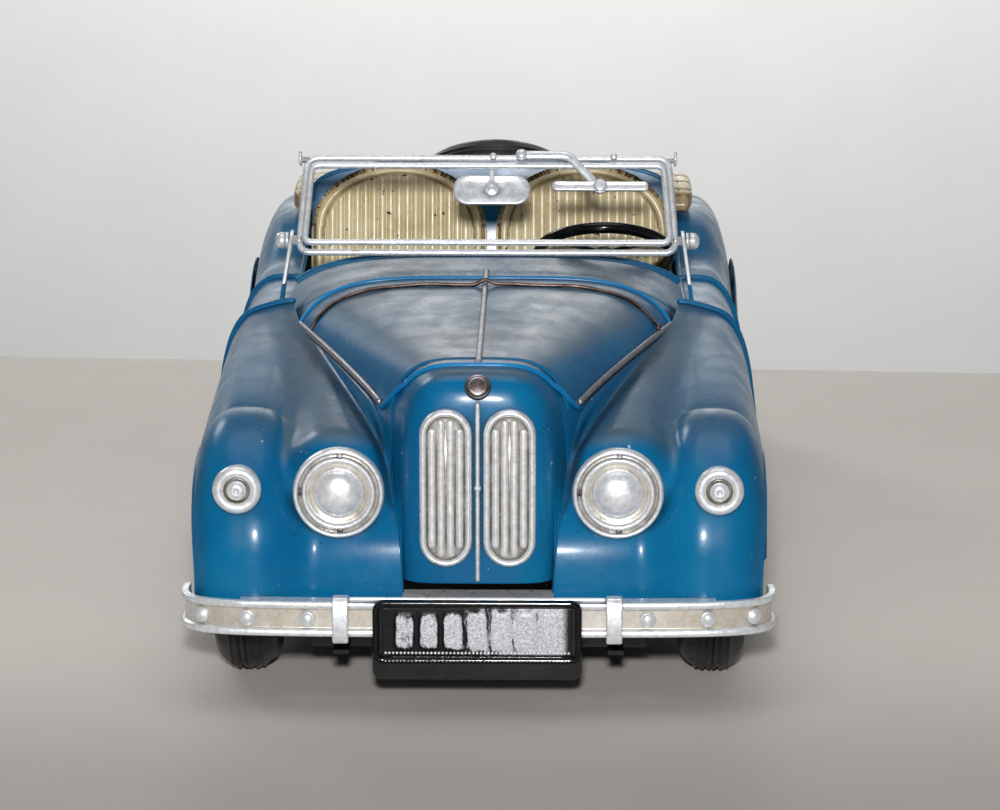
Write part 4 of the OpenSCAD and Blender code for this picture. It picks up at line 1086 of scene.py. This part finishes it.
def number_plate():
    """A plate in a raised black frame, with plain rubbed blocks in place of a number."""
    back = -FRONT_REACH
    outer = even_loop(rounded_rect(23.3, 9.0, 2.2, 10), 200)
    mid = even_loop(rounded_rect(22.5, 6.4, 1.6, 10), 200)
    loop = np.column_stack([mid, np.zeros(200)])
    section = [
        (-0.8, -0.2), (0.8, -0.2), (0.8, 1.1), (0.62, 1.55), (0.2, 1.75), (-0.25, 1.7), (-0.65, 1.3),
        (-0.8, 0.8),
    ]
    rim = on_face(sweep(loop, section, closed=True), 0, back - 0.8, PLATE_Z)
    sheet = on_face(plate(outer, 0, 1.15), 0, back, 16.8)
    tray = on_face(plate(even_loop(rounded_rect(22.4, 6.3, 1.0, 8), 120), 1.1, 1.2), 0, back, PLATE_Z)
    lip = np.column_stack([np.linspace(-19.5, 19.5, 40), np.zeros(40), np.zeros(40)])
    ledge = moved(tube(lip, 0.42), (0, back - 1.45, 13.1))
    piece("plate_frame_rim", join(rim, sheet, tray, ledge), PLASTIC, "plate_frame", edges=(0.3, 3, 40))
    x, z = np.meshgrid(np.linspace(-21.2, 21.2, 260), np.linspace(-5.3, 5.3, 70), indexing="ij")
    k = np.clip(np.round(x / BLOCK_PITCH), -3, 3)
    gap = sup2((x - k * BLOCK_PITCH) / 2.0, z / 3.9, 5)
    lift = BLOCK_LIFT / (1 + np.exp((gap - 1) * 14))
    points = np.stack([x, np.full_like(x, back - 1.24) - lift, z + PLATE_Z], -1).reshape(-1, 3)
    face = add_object("plate_rubbed_face", points, grid_faces(260, 70, True), (lift / BLOCK_LIFT).ravel())
    thicken(face, 0.3)
    attach(face, FACE, "plate_face")
    bead = lathe(dome(0.34, 0.3), aim=FORWARD, steps=10)
    rows = [moved(bead, (x, back - 1.3, 14.0)) for x in np.arange(-20.4, 20.5, 0.85)]
    rows += [moved(row, (0, -0.95, -1.6)) for row in rows]
    detail("plate_beaded_edges", join(*rows), SILVER, "plate_face", solid=False)


# ---------------------------------------------------------------- bonnet trim


def bonnet_trim():
    """Strips along the bonnet and a wire arched across it."""
    y = np.linspace(-139.4, -36.6, 120)
    path, size = round_ends(on_bonnet(0, y), 0.6)
    piece("centre_strip", sweep(path, half_round(0.7, 1.0), size=size), AGED, "bonnet_centre_strip")
    y = np.linspace(-126.6, -56.4, 90)
    path, size = round_ends(on_bonnet(strip_x(y), y) + np.array([0.2, 0, 0]), 0.7)
    side = sweep(path, half_round(0.72, 1.35), size=size)
    piece("side_strips", both(side), AGED, "bonnet_side_strips")
    a = np.linspace(-1, 1, 160)
    x = 42.6 * np.sin(math.pi / 2 * a)
    y = -54.5 - 9.5 * (np.abs(x) / 42.6) ** 4.5
    lift = 0.45 + 1.2 * np.exp(-((x / 1.7) ** 2)) + 0.9 * np.exp(
        -(((a - 0.93) / 0.05) ** 2)
    ) + 0.12 * np.sin(a * 23)
    path = on_bonnet(x, y)
    path[:, 2] += lift
    path[:, 1] += 0.25 * np.sin(a * 17) - 1.1 * np.exp(-(((a - 0.95) / 0.04) ** 2))
    piece("arch_wire", tube(path, 0.48), WIRE, "bonnet_arch_wire")


# ---------------------------------------------------------------- windscreen

PIVOT = (50.2, -25.0, 85.5)
RAKE = 62
SCREEN_HALF = 48.6
SCREEN_H = 27.0
HINGE = (SCREEN_HALF * 0.965, SCREEN_H - 5.3)
MIRROR_AT = (1, 14.4)
POST_AT = (8.6, 21.7)
BLADE_AT = (28.5, 12.9)


def on_screen(mesh, x=0.0, y=0.0, z=0.0):
    """Moves a piece drawn flat onto the raked windscreen: x across, y up the slope, z out."""
    return placed(mesh[0] + np.array([x, y, z]), (0, PIVOT[1], PIVOT[2]), RAKE), mesh[1]


def frame_loop(grow):
    p = rounded_rect(SCREEN_HALF - grow, SCREEN_H / 2 - grow, 3.4 - grow * 0.7, 12)
    p = np.stack([p[:, 0] * (1 - 0.04 * (p[:, 1] / SCREEN_H + 0.5)), p[:, 1] + SCREEN_H / 2 - 4], 1)
    return np.column_stack([even_loop(p, 260), np.zeros(260)])


def screen():
    """Carrier frame, pane frame inside it, and the knobs and screws they turn on."""
    bar = 0.8 * circle(1.0, 20) * np.array([1.05, 1.0])
    rear = on_screen(sweep(frame_loop(0.85), bar, closed=True))
    pin = [(0, 0), (1.25, 0), (1.25, 1.5), (0, 1.5)]
    pins = [on_screen(lathe(pin, (s * (SCREEN_HALF - 1.7), 0, 0), (s, 0, 0), 32)) for s in (-1, 1)]
    piece("screen_carrier_frame", join(rear, *pins), SILVER, "screen_carrier")
    inner = frame_loop(2.3)
    inner[:, 1] = np.interp(inner[:, 1], [inner[:, 1].min(), inner[:, 1].max()], [-1.2, SCREEN_H - 7.6])
    front = on_screen(sweep(inner, bar, closed=True), z=2.15)
    parts = [front]
    for s in (-1, 1):
        ear = plate(np.concatenate([arc(0, 0, 1.35, 180, 360, 14), [(1.35, 2.4), (-1.35, 2.4)]]), -0.38, 0.38)
        turned = np.stack([ear[0][:, 2], ear[0][:, 0], ear[0][:, 1]], 1), ear[1]
        parts.append(on_screen(turned, s * (HINGE[0] + 0.75), HINGE[1], 0))
    for x in (1.4, 32):
        parts.append(on_screen(lathe(dome(0.9, 0.45), steps=24), x, HINGE[1], 3.0))
    post = lathe(
        [(1.3, -0.1), (1.2, 0.3), (0.5, 0.4), (0.48, 1.5), (1.15, 1.5), (1.2, 1.75), (0.9, 2.0), (0, 2.05)],
        steps=28,
    )
    parts.append(on_screen(post, *POST_AT, 2.95))
    piece("screen_pane_frame", join(*parts), SILVER, "screen_frame")
    bolts = []
    knob = [
        (0, -2.6), (1.25, -2.6), (1.25, 0), (2.05, 0), (2.15, 0.15), (2.15, 0.75), (1.5, 0.85), (1.5, 1.0),
        (1.95, 1.05), (2.1, 1.3), (2.1, 2.1), (1.9, 2.6), (1.45, 3.1), (0.8, 3.4), (0, 3.5),
    ]
    head = [
        (0, -0.5), (0.75, -0.5), (0.75, 1.5), (1.5, 1.5), (1.6, 1.65), (1.55, 2.0), (1.2, 2.22), (0.5, 2.3),
        (0, 2.28),
    ]
    for s in (-1, 1):
        bolts.append(lathe(knob, (s * PIVOT[0], PIVOT[1], PIVOT[2]), (s, 0, 0), 40))
        bolts.append(on_screen(lathe(head, (0, 0, 0), (s, 0, 0), 32), s * (HINGE[0] - 1.1), HINGE[1], 0))
    piece("screen_bolts", join(*bolts), SILVER, "screen_screws", solid=False)


def mirror():
    """Flat plate with a rolled edge on a stem."""
    arm = np.column_stack([np.full(20, 1.0), np.linspace(14.6, 21.4, 20), np.full(20, -1.2)])
    size = np.interp(arm[:, 1], [15, 17.5, 21.4], [1.25, 0.9, 1.0])
    stem = on_screen(sweep(arm, rounded_rect(0.75, 0.34, 0.3, 3), size=size))
    boss = lathe(
        [(0, -0.4), (1.6, -0.4), (1.9, -0.2), (1.9, 0.15), (1.6, 0.35), (1.2, 0.3), (0.8, 0.55), (0, 0.6)],
        steps=32,
    )
    boss = on_screen(boss, *MIRROR_AT, -1.2)
    rivet = on_screen(lathe([(0, 0), (0.68, 0), (0.68, 1.35), (0, 1.4)], steps=24), *MIRROR_AT, -2.88)
    piece("mirror_stem", join(stem, boss, rivet), SILVER, "mirror_arm")
    outline = even_loop(rounded_rect(9.8, 3.9, 3.6, 10), 120)
    rings = [
        (1.0, -2.8), (1.0, -2.1), (0.985, -1.85), (0.94, -1.72), (0.86, -1.7), (0.8, -1.86), (0.4, -1.9),
        (0.085, -1.9), (0.085, -2.8),
    ]
    loops = np.stack([np.column_stack([outline * s, np.full(120, z)]) for s, z in rings], 0)
    hole = np.hypot(loops[-2:, :, 0], loops[-2:, :, 1])
    loops[-2:, :, :2] *= (0.76 / np.maximum(hole, 1e-6))[..., None]
    mesh = loops.reshape(-1, 3), ring_faces(len(rings), 120, True)
    piece("mirror_shell", on_screen(mesh, *MIRROR_AT, 0), SILVER, "mirror_plate")


def wiper():
    """Cranked arm with a hub and a blade that turns on it."""
    flat = half_round(1.15, 0.68)
    bend = curve_through(
        [(9.6, 21.7), (14, 21.7), (19.2, 21.6), (21.3, 20.6), (23.2, 18.6), (27.2, 14.2)], 50
    )
    arm = sweep(np.column_stack([bend, np.full(50, 3.72)]), flat)
    collar = lathe([(0.56, 0), (1.5, 0), (1.5, 0.45), (1.3, 0.7), (0.56, 0.7)], (*POST_AT, 3.7), steps=32)
    hub = lathe(
        [
            (0, 0), (1.5, 0), (1.5, 0.5), (0.6, 0.6), (0.58, 1.85), (1.5, 1.85), (1.6, 2.0), (1.5, 2.25),
            (1.0, 2.36), (0, 2.4),
        ],
        (*BLADE_AT, 3.72), steps=36,
    )
    piece("wiper_arm_bar", on_screen(join(arm, collar, hub)), SILVER, "wiper_arm")
    outline = even_loop(rounded_rect(12.1, 1.2, 0.85, 8), 160)
    rings = [(0, 0.0), (0, 0.7), (-0.12, 0.92), (-0.3, 0.98), (-0.42, 0.8), (-0.55, 0.74)]
    loops = [
        np.column_stack([np.sign(outline) * np.maximum(np.abs(outline) + s, 0), np.full(160, z)])
        for s, z in rings
    ]
    blade = np.concatenate(loops), ring_faces(len(rings), 160, False)
    disc = lathe([(0.66, 0), (1.9, 0), (1.9, 0.7), (1.7, 0.95), (0.66, 0.95)], steps=36)
    mesh = join(moved(blade, (*BLADE_AT, 4.5)), moved(disc, (*BLADE_AT, 4.5)))
    piece("wiper_blade_bar", on_screen(mesh), SILVER, "wiper_blade")


def side_plate(outline, x, t):
    """A plate standing along the car, drawn in Y and Z, from x outward by t."""
    points, faces = plate(outline, x, x + t)
    slant = 0.13 * (PIVOT[2] + 2 - points[:, 1])
    return np.stack([points[:, 2] + slant, points[:, 0], points[:, 1]], 1), faces


def stanchions():
    """Posts at the foot of the windscreen, with their shoes."""
    blade = curve_through(
        [(-36, 76.25), (-33.6, 78.6), (-31, 81.4), (-28.4, 84.6), (-26.9, 87), (-25.6, 88)], 24
    )
    back = curve_through(
        [(-23.8, 88), (-22.6, 86.6), (-22.4, 84), (-25.2, 81), (-28, 78.4), (-30, 76.25)], 24
    )
    strut = side_plate(np.concatenate([blade, back]), 48.95, 0.9)
    fins = []
    for y, z in ((-24.6, 81.6), (-26.2, 79.9), (-27.6, 78.6)):
        fins.append(
            side_plate([(y, z), (y + 1.9, z - 0.5), (y + 1.5, z - 1.5), (y - 0.8, z - 1.1)], 49.1, 0.6)
        )
    piece("screen_stanchions", join(both(strut), *fins), SILVER, "stanchions", edges=(0.22, 2, 40))
    foot = side_plate(
        [(-41, 64.5), (-32, 64.5), (-30.6, 70), (-30, 76.1), (-36, 76.1), (-39, 70)], 48.95, 0.95
    )
    edge = side_plate([(-30.9, 70.4), (-30.1, 70.2), (-29.6, 76.0), (-30.4, 76.2)], 49.0, 0.85)
    piece("stanchion_shoes", both(foot), BLUE, "stanchion_feet", edges=(0.22, 2, 40))
    detail("stanchion_edges", both(edge), BADGE, "stanchion_feet", edges=(0.2, 2, 40))


# ---------------------------------------------------------------- cockpit

SEAT_IN, SEAT_OUT = 2.6, 47.2
SEAT_BASE = 45.2
SEAT_TALL = 49.6
SEAT_DOME = 16.0
SEAT_FOOT = (0, 36, SEAT_BASE)
SEAT_MIDDLE = (SEAT_IN + SEAT_OUT) / 2
SEAT_LEAN = 78
FLUTE_PITCH = 2.25


def seat_back(side):
    """Pressed seat back: a plain rim, a sunk line inside it and upright flutes."""
    w, h = (SEAT_OUT - SEAT_IN) / 2, SEAT_TALL
    x, v = np.meshgrid(np.linspace(-w, w, 240), np.linspace(0.2, h, 150), indexing="ij")
    up = np.maximum(0, v - (h - SEAT_DOME)) / SEAT_DOME
    round_in = (1 - np.sqrt((x / w) ** 2 + up**2)) * w * 0.85
    edge = np.where(v > h - SEAT_DOME, round_in, w - np.abs(x))
    groove = np.abs(np.cos(math.pi * x / FLUTE_PITCH))
    flute = 0.42 * groove**0.7
    inside = np.clip((edge - 2.0) / 0.4, 0, 1)
    rim = 0.9 * np.sqrt(np.clip(1 - ((edge - 0.9) / 1.05) ** 2, 0, 1))
    high = 4.0 + inside * flute + (1 - inside) * rim - 0.4 * np.exp(-(((edge - 1.95) / 0.2) ** 2))
    points = placed(np.stack([x, v, high], -1).reshape(-1, 3), SEAT_FOOT, SEAT_LEAN)
    points = (points + np.array([SEAT_MIDDLE, 0, 0])) * np.array([side, 1, 1])
    # Darker in the grooves between the flutes and along the sunk line, more on the right seat than the left.
    worn = 0.9 if side > 0 else 0.28
    sunk_line = 0.9 * np.exp(-(((edge - 1.95) / 0.28) ** 2))
    stain = np.where(inside > 0.5, worn * np.clip(1 - groove / 0.42, 0, 1), sunk_line)
    faces = grid_faces(240, 150, side > 0)
    verts, polys = clip(np.column_stack([points, stain.ravel()]), faces.tolist(), edge.ravel())
    return verts[:, :3], polys, verts[:, 3]


def seat_cushion(side):
    """Fluted seat base with a rounded front edge."""
    loop = even_loop(rounded_rect(11, 3.5, 2.6, 8), 60)
    x = np.linspace(SEAT_IN + 0.1, SEAT_OUT - 0.1, 200)
    shrink = 1 - 0.06 * (np.abs(x - SEAT_MIDDLE) / 22.2) ** 12
    flute = 0.97 + 0.03 * np.abs(np.cos(math.pi * (x - SEAT_MIDDLE) / FLUTE_PITCH))
    rings = [
        np.column_stack([np.full(60, a), loop * size + [21, SEAT_BASE + 3.5]])
        for a, size in zip(x, shrink * flute)
    ]
    mesh = np.concatenate(rings), ring_faces(200, 60, False)
    return mesh if side > 0 else mirrored(mesh)


def seats():
    for side, name in ((1, "seat_right"), (-1, "seat_left")):
        verts, faces, stain = seat_back(side)
        back = add_object(name + "_back", verts, faces, stain)
        attach(thicken(back, 3.6), CREAM, name)
        detail(name + "_base", seat_cushion(side), CREAM, name)


def cockpit_back():
    """Arched blue panel behind the seats, with a rolled edge."""
    a = np.linspace(-math.pi / 2, math.pi / 2, 200)
    x = 48.4 * np.sin(a)
    top = 41.6 + 11 * np.cos(a) ** 0.6
    up = np.linspace(0, 1, 30)
    grid = np.stack(
        [np.broadcast_to(x[:, None], (200, 30)), top[:, None] * up[None, :], np.full((200, 30), -1.4)], -1
    )
    verts = placed(grid.reshape(-1, 3), SEAT_FOOT, SEAT_LEAN)
    wall = thicken(add_object("cockpit_back_panel", verts, grid_faces(200, 30, True)), 0.8)
    attach(wall, BLUE, "cockpit_tub", stands_for=False)
    roll = tube(placed(np.column_stack([x, top, np.full(200, -1.8)]), SEAT_FOOT, SEAT_LEAN), 0.75)
    detail("cockpit_back_roll", roll, BLUE, "cockpit_tub")


def hood_cover():
    """Folded hood in a soft roll with three creases and a turned hem at each end."""
    skin = [
        (58.5, 80), (58.7, 82.6), (61, 85.3), (66, 86.4), (72, 87.1), (80, 87.4), (86, 87.4), (91, 87.2),
        (94, 86.8), (96.6, 85.8),
    ]
    skin = curve_through([*skin, (97.1, 85), (96, 84.4)], 110)
    under = curve_through([(95, 84.1), (85, 83.2), (72, 81.6), (60, 80.1)], 20)
    loop = np.concatenate([skin, under])
    x = np.concatenate([np.linspace(-55, -52, 14), np.linspace(-51.8, 51.8, 150), np.linspace(52, 55, 14)])
    rings, stain = [], []
    middle = np.array([78.0, 83.6])
    for a in x:
        end = np.clip((np.abs(a) - 52.6) / 2.4, 0, 1)
        size = math.sqrt(max(0.02, 1 - end**2.4)) * 0.5 + 0.5
        ring = middle + (loop - middle) * [size, size * (1 - 0.3 * (np.abs(a) / 55) ** 6)]
        sag = 0.25 * math.sin(a * 0.21) + 0.18 * math.sin(a * 0.53 + 1)
        drop = sum(0.55 * np.exp(-(((loop[:, 0] - y - sag) / 0.7) ** 2)) for y in (65.5, 75.5, 86.5))
        drop = drop * (loop[:, 1] > 84.8)
        hem = 0.3 * np.exp(-(((np.abs(a) - 51.2) / 0.5) ** 2))
        ring[:, 1] -= drop + hem * (loop[:, 1] > 84.8)
        rings.append(np.column_stack([np.full(len(ring), a), ring]))
        # Darker in the creases, at the hems and ends, and under the roll: painted shade, with grime.
        stain.append(np.clip(drop * 1.5 + hem * 2.5 + (loop[:, 1] < 85.4) * 0.7 + 0.5 * end, 0, 1))
    mesh = np.concatenate(rings), ring_faces(len(x), len(loop), False)
    piece("hood_roll", mesh, CREAM, "hood_cover", stain=np.concatenate(stain), solid=False)


def dashboard():
    """Board under the scuttle with two plain dials."""
    x = np.linspace(-44, 44, 60)
    top = np.column_stack([x, 77.5 - 9.5 * np.abs(x / 44) ** 3])
    outline = np.concatenate([top, [(44, 58.2), (-44, 58.2)]])[::-1]
    board = on_face(plate(outline, 0, 1.2), 0, SCUTTLE_REAR - 1.6, 0)
    piece("dash_board", board, BLUE, "dashboard", edges=(0.3,))
    dials = []
    for a in (-13, 13):
        profile = [
            (3.4, 0), (3.4, 0.5), (3.1, 0.75), (2.8, 0.6), (2.6, 0.3), (0.5, 0.25), (0.3, 0.5), (0, 0.55)
        ]
        dials.append(lathe(profile, (a, SCUTTLE_REAR - 1.65, 69), (0, 1, 0), 40))
    detail("dash_dials", join(*dials), SILVER, "dashboard", solid=False)


WHEEL_CENTRE = (30.0, 9.0, 76.8)
COLUMN_TILT = -32


def steering():
    """Column, rim and three spokes."""
    floor = (WHEEL_CENTRE[2] - 44.8) / math.cos(math.radians(COLUMN_TILT)) + 0.4
    profile = [
        (0, -floor), (1.4, -floor), (1.4, -12), (1.6, -11.6), (1.6, -10), (1.35, -9.6), (1.35, -2.2),
        (0.8, -2.1), (0.78, 1.2), (1.5, 1.2), (1.6, 1.4), (1.4, 1.7), (0.8, 1.8), (0, 1.8),
    ]
    verts, faces = lathe(profile, steps=32)
    column = placed(verts, WHEEL_CENTRE, COLUMN_TILT), faces
    piece("steering_shaft", column, BLACK, "steering_column")
    a = np.arange(120) * 2 * math.pi / 120
    ring = np.stack([17.2 * np.cos(a), 17.2 * np.sin(a), np.zeros(120)], 1)
    parts = [sweep(ring, circle(1.5, 20), closed=True)]
    parts.append(
        lathe(
            [(0.86, -1.9), (2.6, -1.9), (3.2, -1.3), (3.2, 0.2), (2.7, 0.7), (1.8, 0.9), (0.86, 0.9)],
            steps=48,
        ),
    )
    for angle in (90, 210, 330):
        c, s = math.cos(math.radians(angle)), math.sin(math.radians(angle))
        r = np.linspace(2.6, 16.6, 24)
        path = np.stack([r * c, r * s, 0.25 * np.sin((r - 2.6) / 14 * math.pi)], 1)
        parts.append(
            sweep(
                path, rounded_rect(1.0, 0.42, 0.35, 4), size=np.interp(r, [2.6, 8, 16.6], [1.15, 0.85, 1.2])
            ),
        )
    verts, faces = join(*parts)
    wheel = placed(verts, WHEEL_CENTRE, COLUMN_TILT), faces
    piece("steering_rim_and_spokes", wheel, PLASTIC, "steering_wheel")


# ---------------------------------------------------------------- wheels

WHEEL_X = 53.5
SPARE_CENTRE = (0, 121.5, 76.5)
SPARE_LEAN = math.radians(34)


def tyre_profile():
    """Tyre section with a rib near the bead, sidewall rings and five grooves round the tread."""
    half = [
        (15.5, 5.3), (15.7, 6.2), (16.6, 7.0), (17.2, 7.3), (17.7, 7.2), (18.0, 7.42), (19.2, 7.3),
        (19.6, 7.05), (20.2, 6.95), (21.2, 6.2), (22.2, 5.1), (22.9, 4.0),
    ]
    tread = []
    for z in (3.2, 1.6, 0.0):
        tread += [
            (23.45 + 0.5 * (z < 3), z + 0.6), (23.6 + 0.35 * (z < 3), z + 0.25), (23.3, z + 0.12),
            (23.3, z - 0.12),
        ]
    right = half + tread[:-1]
    return right + [(r, -z) for r, z in right[::-1]]


WHEEL = [
    (1.5, -4.4), (5.6, -4.5), (6, -4.1), (6, 1.4), (7, 1.7), (11.3, 2.2), (12.4, 3.0), (13.0, 4.1),
    (13.3, 4.0), (13.9, -4.9), (14.4, -5.3), (15.4, -5.4), (15.6, -5.0), (15.6, 5.0), (15.3, 5.5),
    (14.6, 5.9), (14.0, 5.8), (13.2, 5.35), (12.2, 4.3), (11.4, 3.4), (10.6, 3.15), (9.8, 3.2), (9.2, 3.5),
]
CAP = [
    (9.15, 3.2), (9.1, 3.65), (8.6, 3.95), (8.2, 3.8), (7.9, 4.4), (7.2, 5.5), (6.0, 6.3), (4.4, 6.85),
    (2.6, 7.1), (0, 7.18),
]


def wheel_pair(profile, y, steps=96):
    return join(*(lathe(profile, (side * WHEEL_X, y, AXLE_Z), (side, 0, 0), steps) for side in (-1, 1)))


def wheels():
    for y, end in ((FRONT_AXLE, "front"), (REAR_AXLE, "rear")):
        piece(end + "_tyre_pair", wheel_pair(tyre_profile(), y, 128), RUBBER, end + "_tyres", solid=False)
        piece(end + "_wheel_discs", wheel_pair(WHEEL, y), BLUE, end + "_wheels", solid=False)
        detail(end + "_hub_caps", wheel_pair(CAP, y), SILVER, end + "_wheels", solid=False)
    aim = (0, math.sin(SPARE_LEAN), math.cos(SPARE_LEAN))
    piece("spare_tyre_ring", lathe(tyre_profile(), SPARE_CENTRE, aim, 128), RUBBER, "spare_tyre", solid=False)
    disc = lathe([(2.2, -4.4)] + WHEEL[1:], SPARE_CENTRE, aim, 96)
    piece("spare_wheel_disc", disc, BLUE, "spare_wheel", solid=False)
    bolt = [(0, -9.5), (2.2, -9.5), (2.2, 6.6), (3.1, 6.9), (3.4, 7.3), (3.4, 8.2), (3.0, 8.6), (0, 8.6)]
    mesh = join(lathe(CAP, SPARE_CENTRE, aim, 96), lathe(bolt, SPARE_CENTRE, aim, 48))
    detail("spare_cap_and_bolt", mesh, SILVER, "spare_wheel", solid=False)


# ---------------------------------------------------------------- the build

BUILDERS = (
    front_wings, nose_shell, doors, rear_wings, rear_deck, beads, wheel_spats,
    grilles, nose_strip, nose_badge, headlamps, parking_lamps, tail_lamps, bumpers, number_plate,
    bonnet_trim, screen, mirror, wiper, stanchions,
    seats, cockpit_back, hood_cover, dashboard, steering, wheels,
)
for build in BUILDERS:
    build()
panel("bonnet_panel", bonnet_grid(-45.3, -134, 80, 80), "bonnet")
panel("scuttle_panel", bonnet_grid(SCUTTLE_REAR, -45, 30, 80, 49.4), "scuttle")

for name, obj in frame["nodes"].items():
    obj.data.materials.clear()
    obj.data.materials.append(LOOK_OF_SLOT[SLOT_OF[name]])
for name in ("chassis_pan", "front_axle_hanger", "cockpit_tub", "motor_frame"):
    soften(frame["nodes"][name], 0.2, 2)


# ---------------------------------------------------------------- stage, light and camera

CAMERA_AT = (0.0167, -0.9899, 0.240)
CAMERA_DIP = 11.53
CAMERA_TURN = 0.8
CAMERA_LENS = 139
FLOOR = [(-900, -1200, 0), (900, -1200, 0), (900, 184, 0), (-900, 320, 0)]
WALL = [(-2400, 3000, -1200), (2400, 3000, -1200), (2400, 3000, 1800), (-2400, 3000, 1800)]


def stage():
    def plain(name, color, front, rough):
        look = Look(name, Specular_IOR_Level=0.15)
        darker = tuple(c * 0.97 for c in color[:3]) + (1,)
        shade = look.mix(look.span(look.noise(9, 4), 0.3, 0.7), darker, color)
        ahead = look.add("ShaderNodeSeparateXYZ", {0: look.place}).outputs[1]
        # Painted shade: the floor darkens towards the front, to the front colour.
        shade = look.mix(look.span(ahead, -0.24, -0.07, 1.0, 0.0), shade, front)
        sheen = look.span(look.noise(60, 3), 0.3, 0.7, rough, rough + 0.06)
        return look.finish(shade, sheen, look.noise(900), 0.02)

    floor = add_object("floor", FLOOR, [(0, 1, 2, 3)])
    # The front colour is painted shade where the light falls off near the camera.
    floor.data.materials.append(plain("floor_paint", rgb("e2dad1"), rgb("a8a29e"), 0.5))
    wall = add_object("wall", WALL, [(0, 1, 2, 3)])
    wall.data.materials.append(plain("wall_paint", rgb("e9e9e6"), rgb("e9e9e6"), 0.8))


def area_light(name, place, target, size, power):
    light = bpy.data.lights.new(name, "AREA")
    light.shape = "DISK"
    light.size = size
    light.energy = power
    obj = bpy.data.objects.new(name, light)
    bpy.context.scene.collection.objects.link(obj)
    obj.location = place
    obj.rotation_euler = (Vector(target) - Vector(place)).to_track_quat("-Z", "Y").to_euler()


def lights():
    area_light("overhead", (0.0, 0.0, 1.15), (0, 0, 0), 0.9, 3.0)
    area_light("camera_side", (0.01, -1.0, 0.335), (0, 0.0, 0.05), 0.06, 7.4)
    area_light("wall_wash", (0.0, 2.0, 1.2), (0, 3, -0.35), 0.8, 45)
    area_light("behind", (-0.9, 1.2, 0.9), (0, 0.05, 0.05), 0.5, 4)
    world = bpy.data.worlds.new("world")
    bpy.context.scene.world = world
    world.use_nodes = True
    world.node_tree.nodes["Background"].inputs[0].default_value = (0.93, 0.95, 1.0, 1)
    world.node_tree.nodes["Background"].inputs[1].default_value = 0.14


def camera():
    cam = bpy.data.cameras.new("camera")
    cam.sensor_width = 36
    cam.lens = CAMERA_LENS
    cam.clip_start = 0.01
    obj = bpy.data.objects.new("camera", cam)
    bpy.context.scene.collection.objects.link(obj)
    obj.location = CAMERA_AT
    obj.rotation_euler = (math.radians(90 - CAMERA_DIP), 0, math.radians(CAMERA_TURN))
    bpy.context.scene.camera = obj


stage()
lights()
camera()
bpy.context.scene.view_settings.view_transform = "Standard"
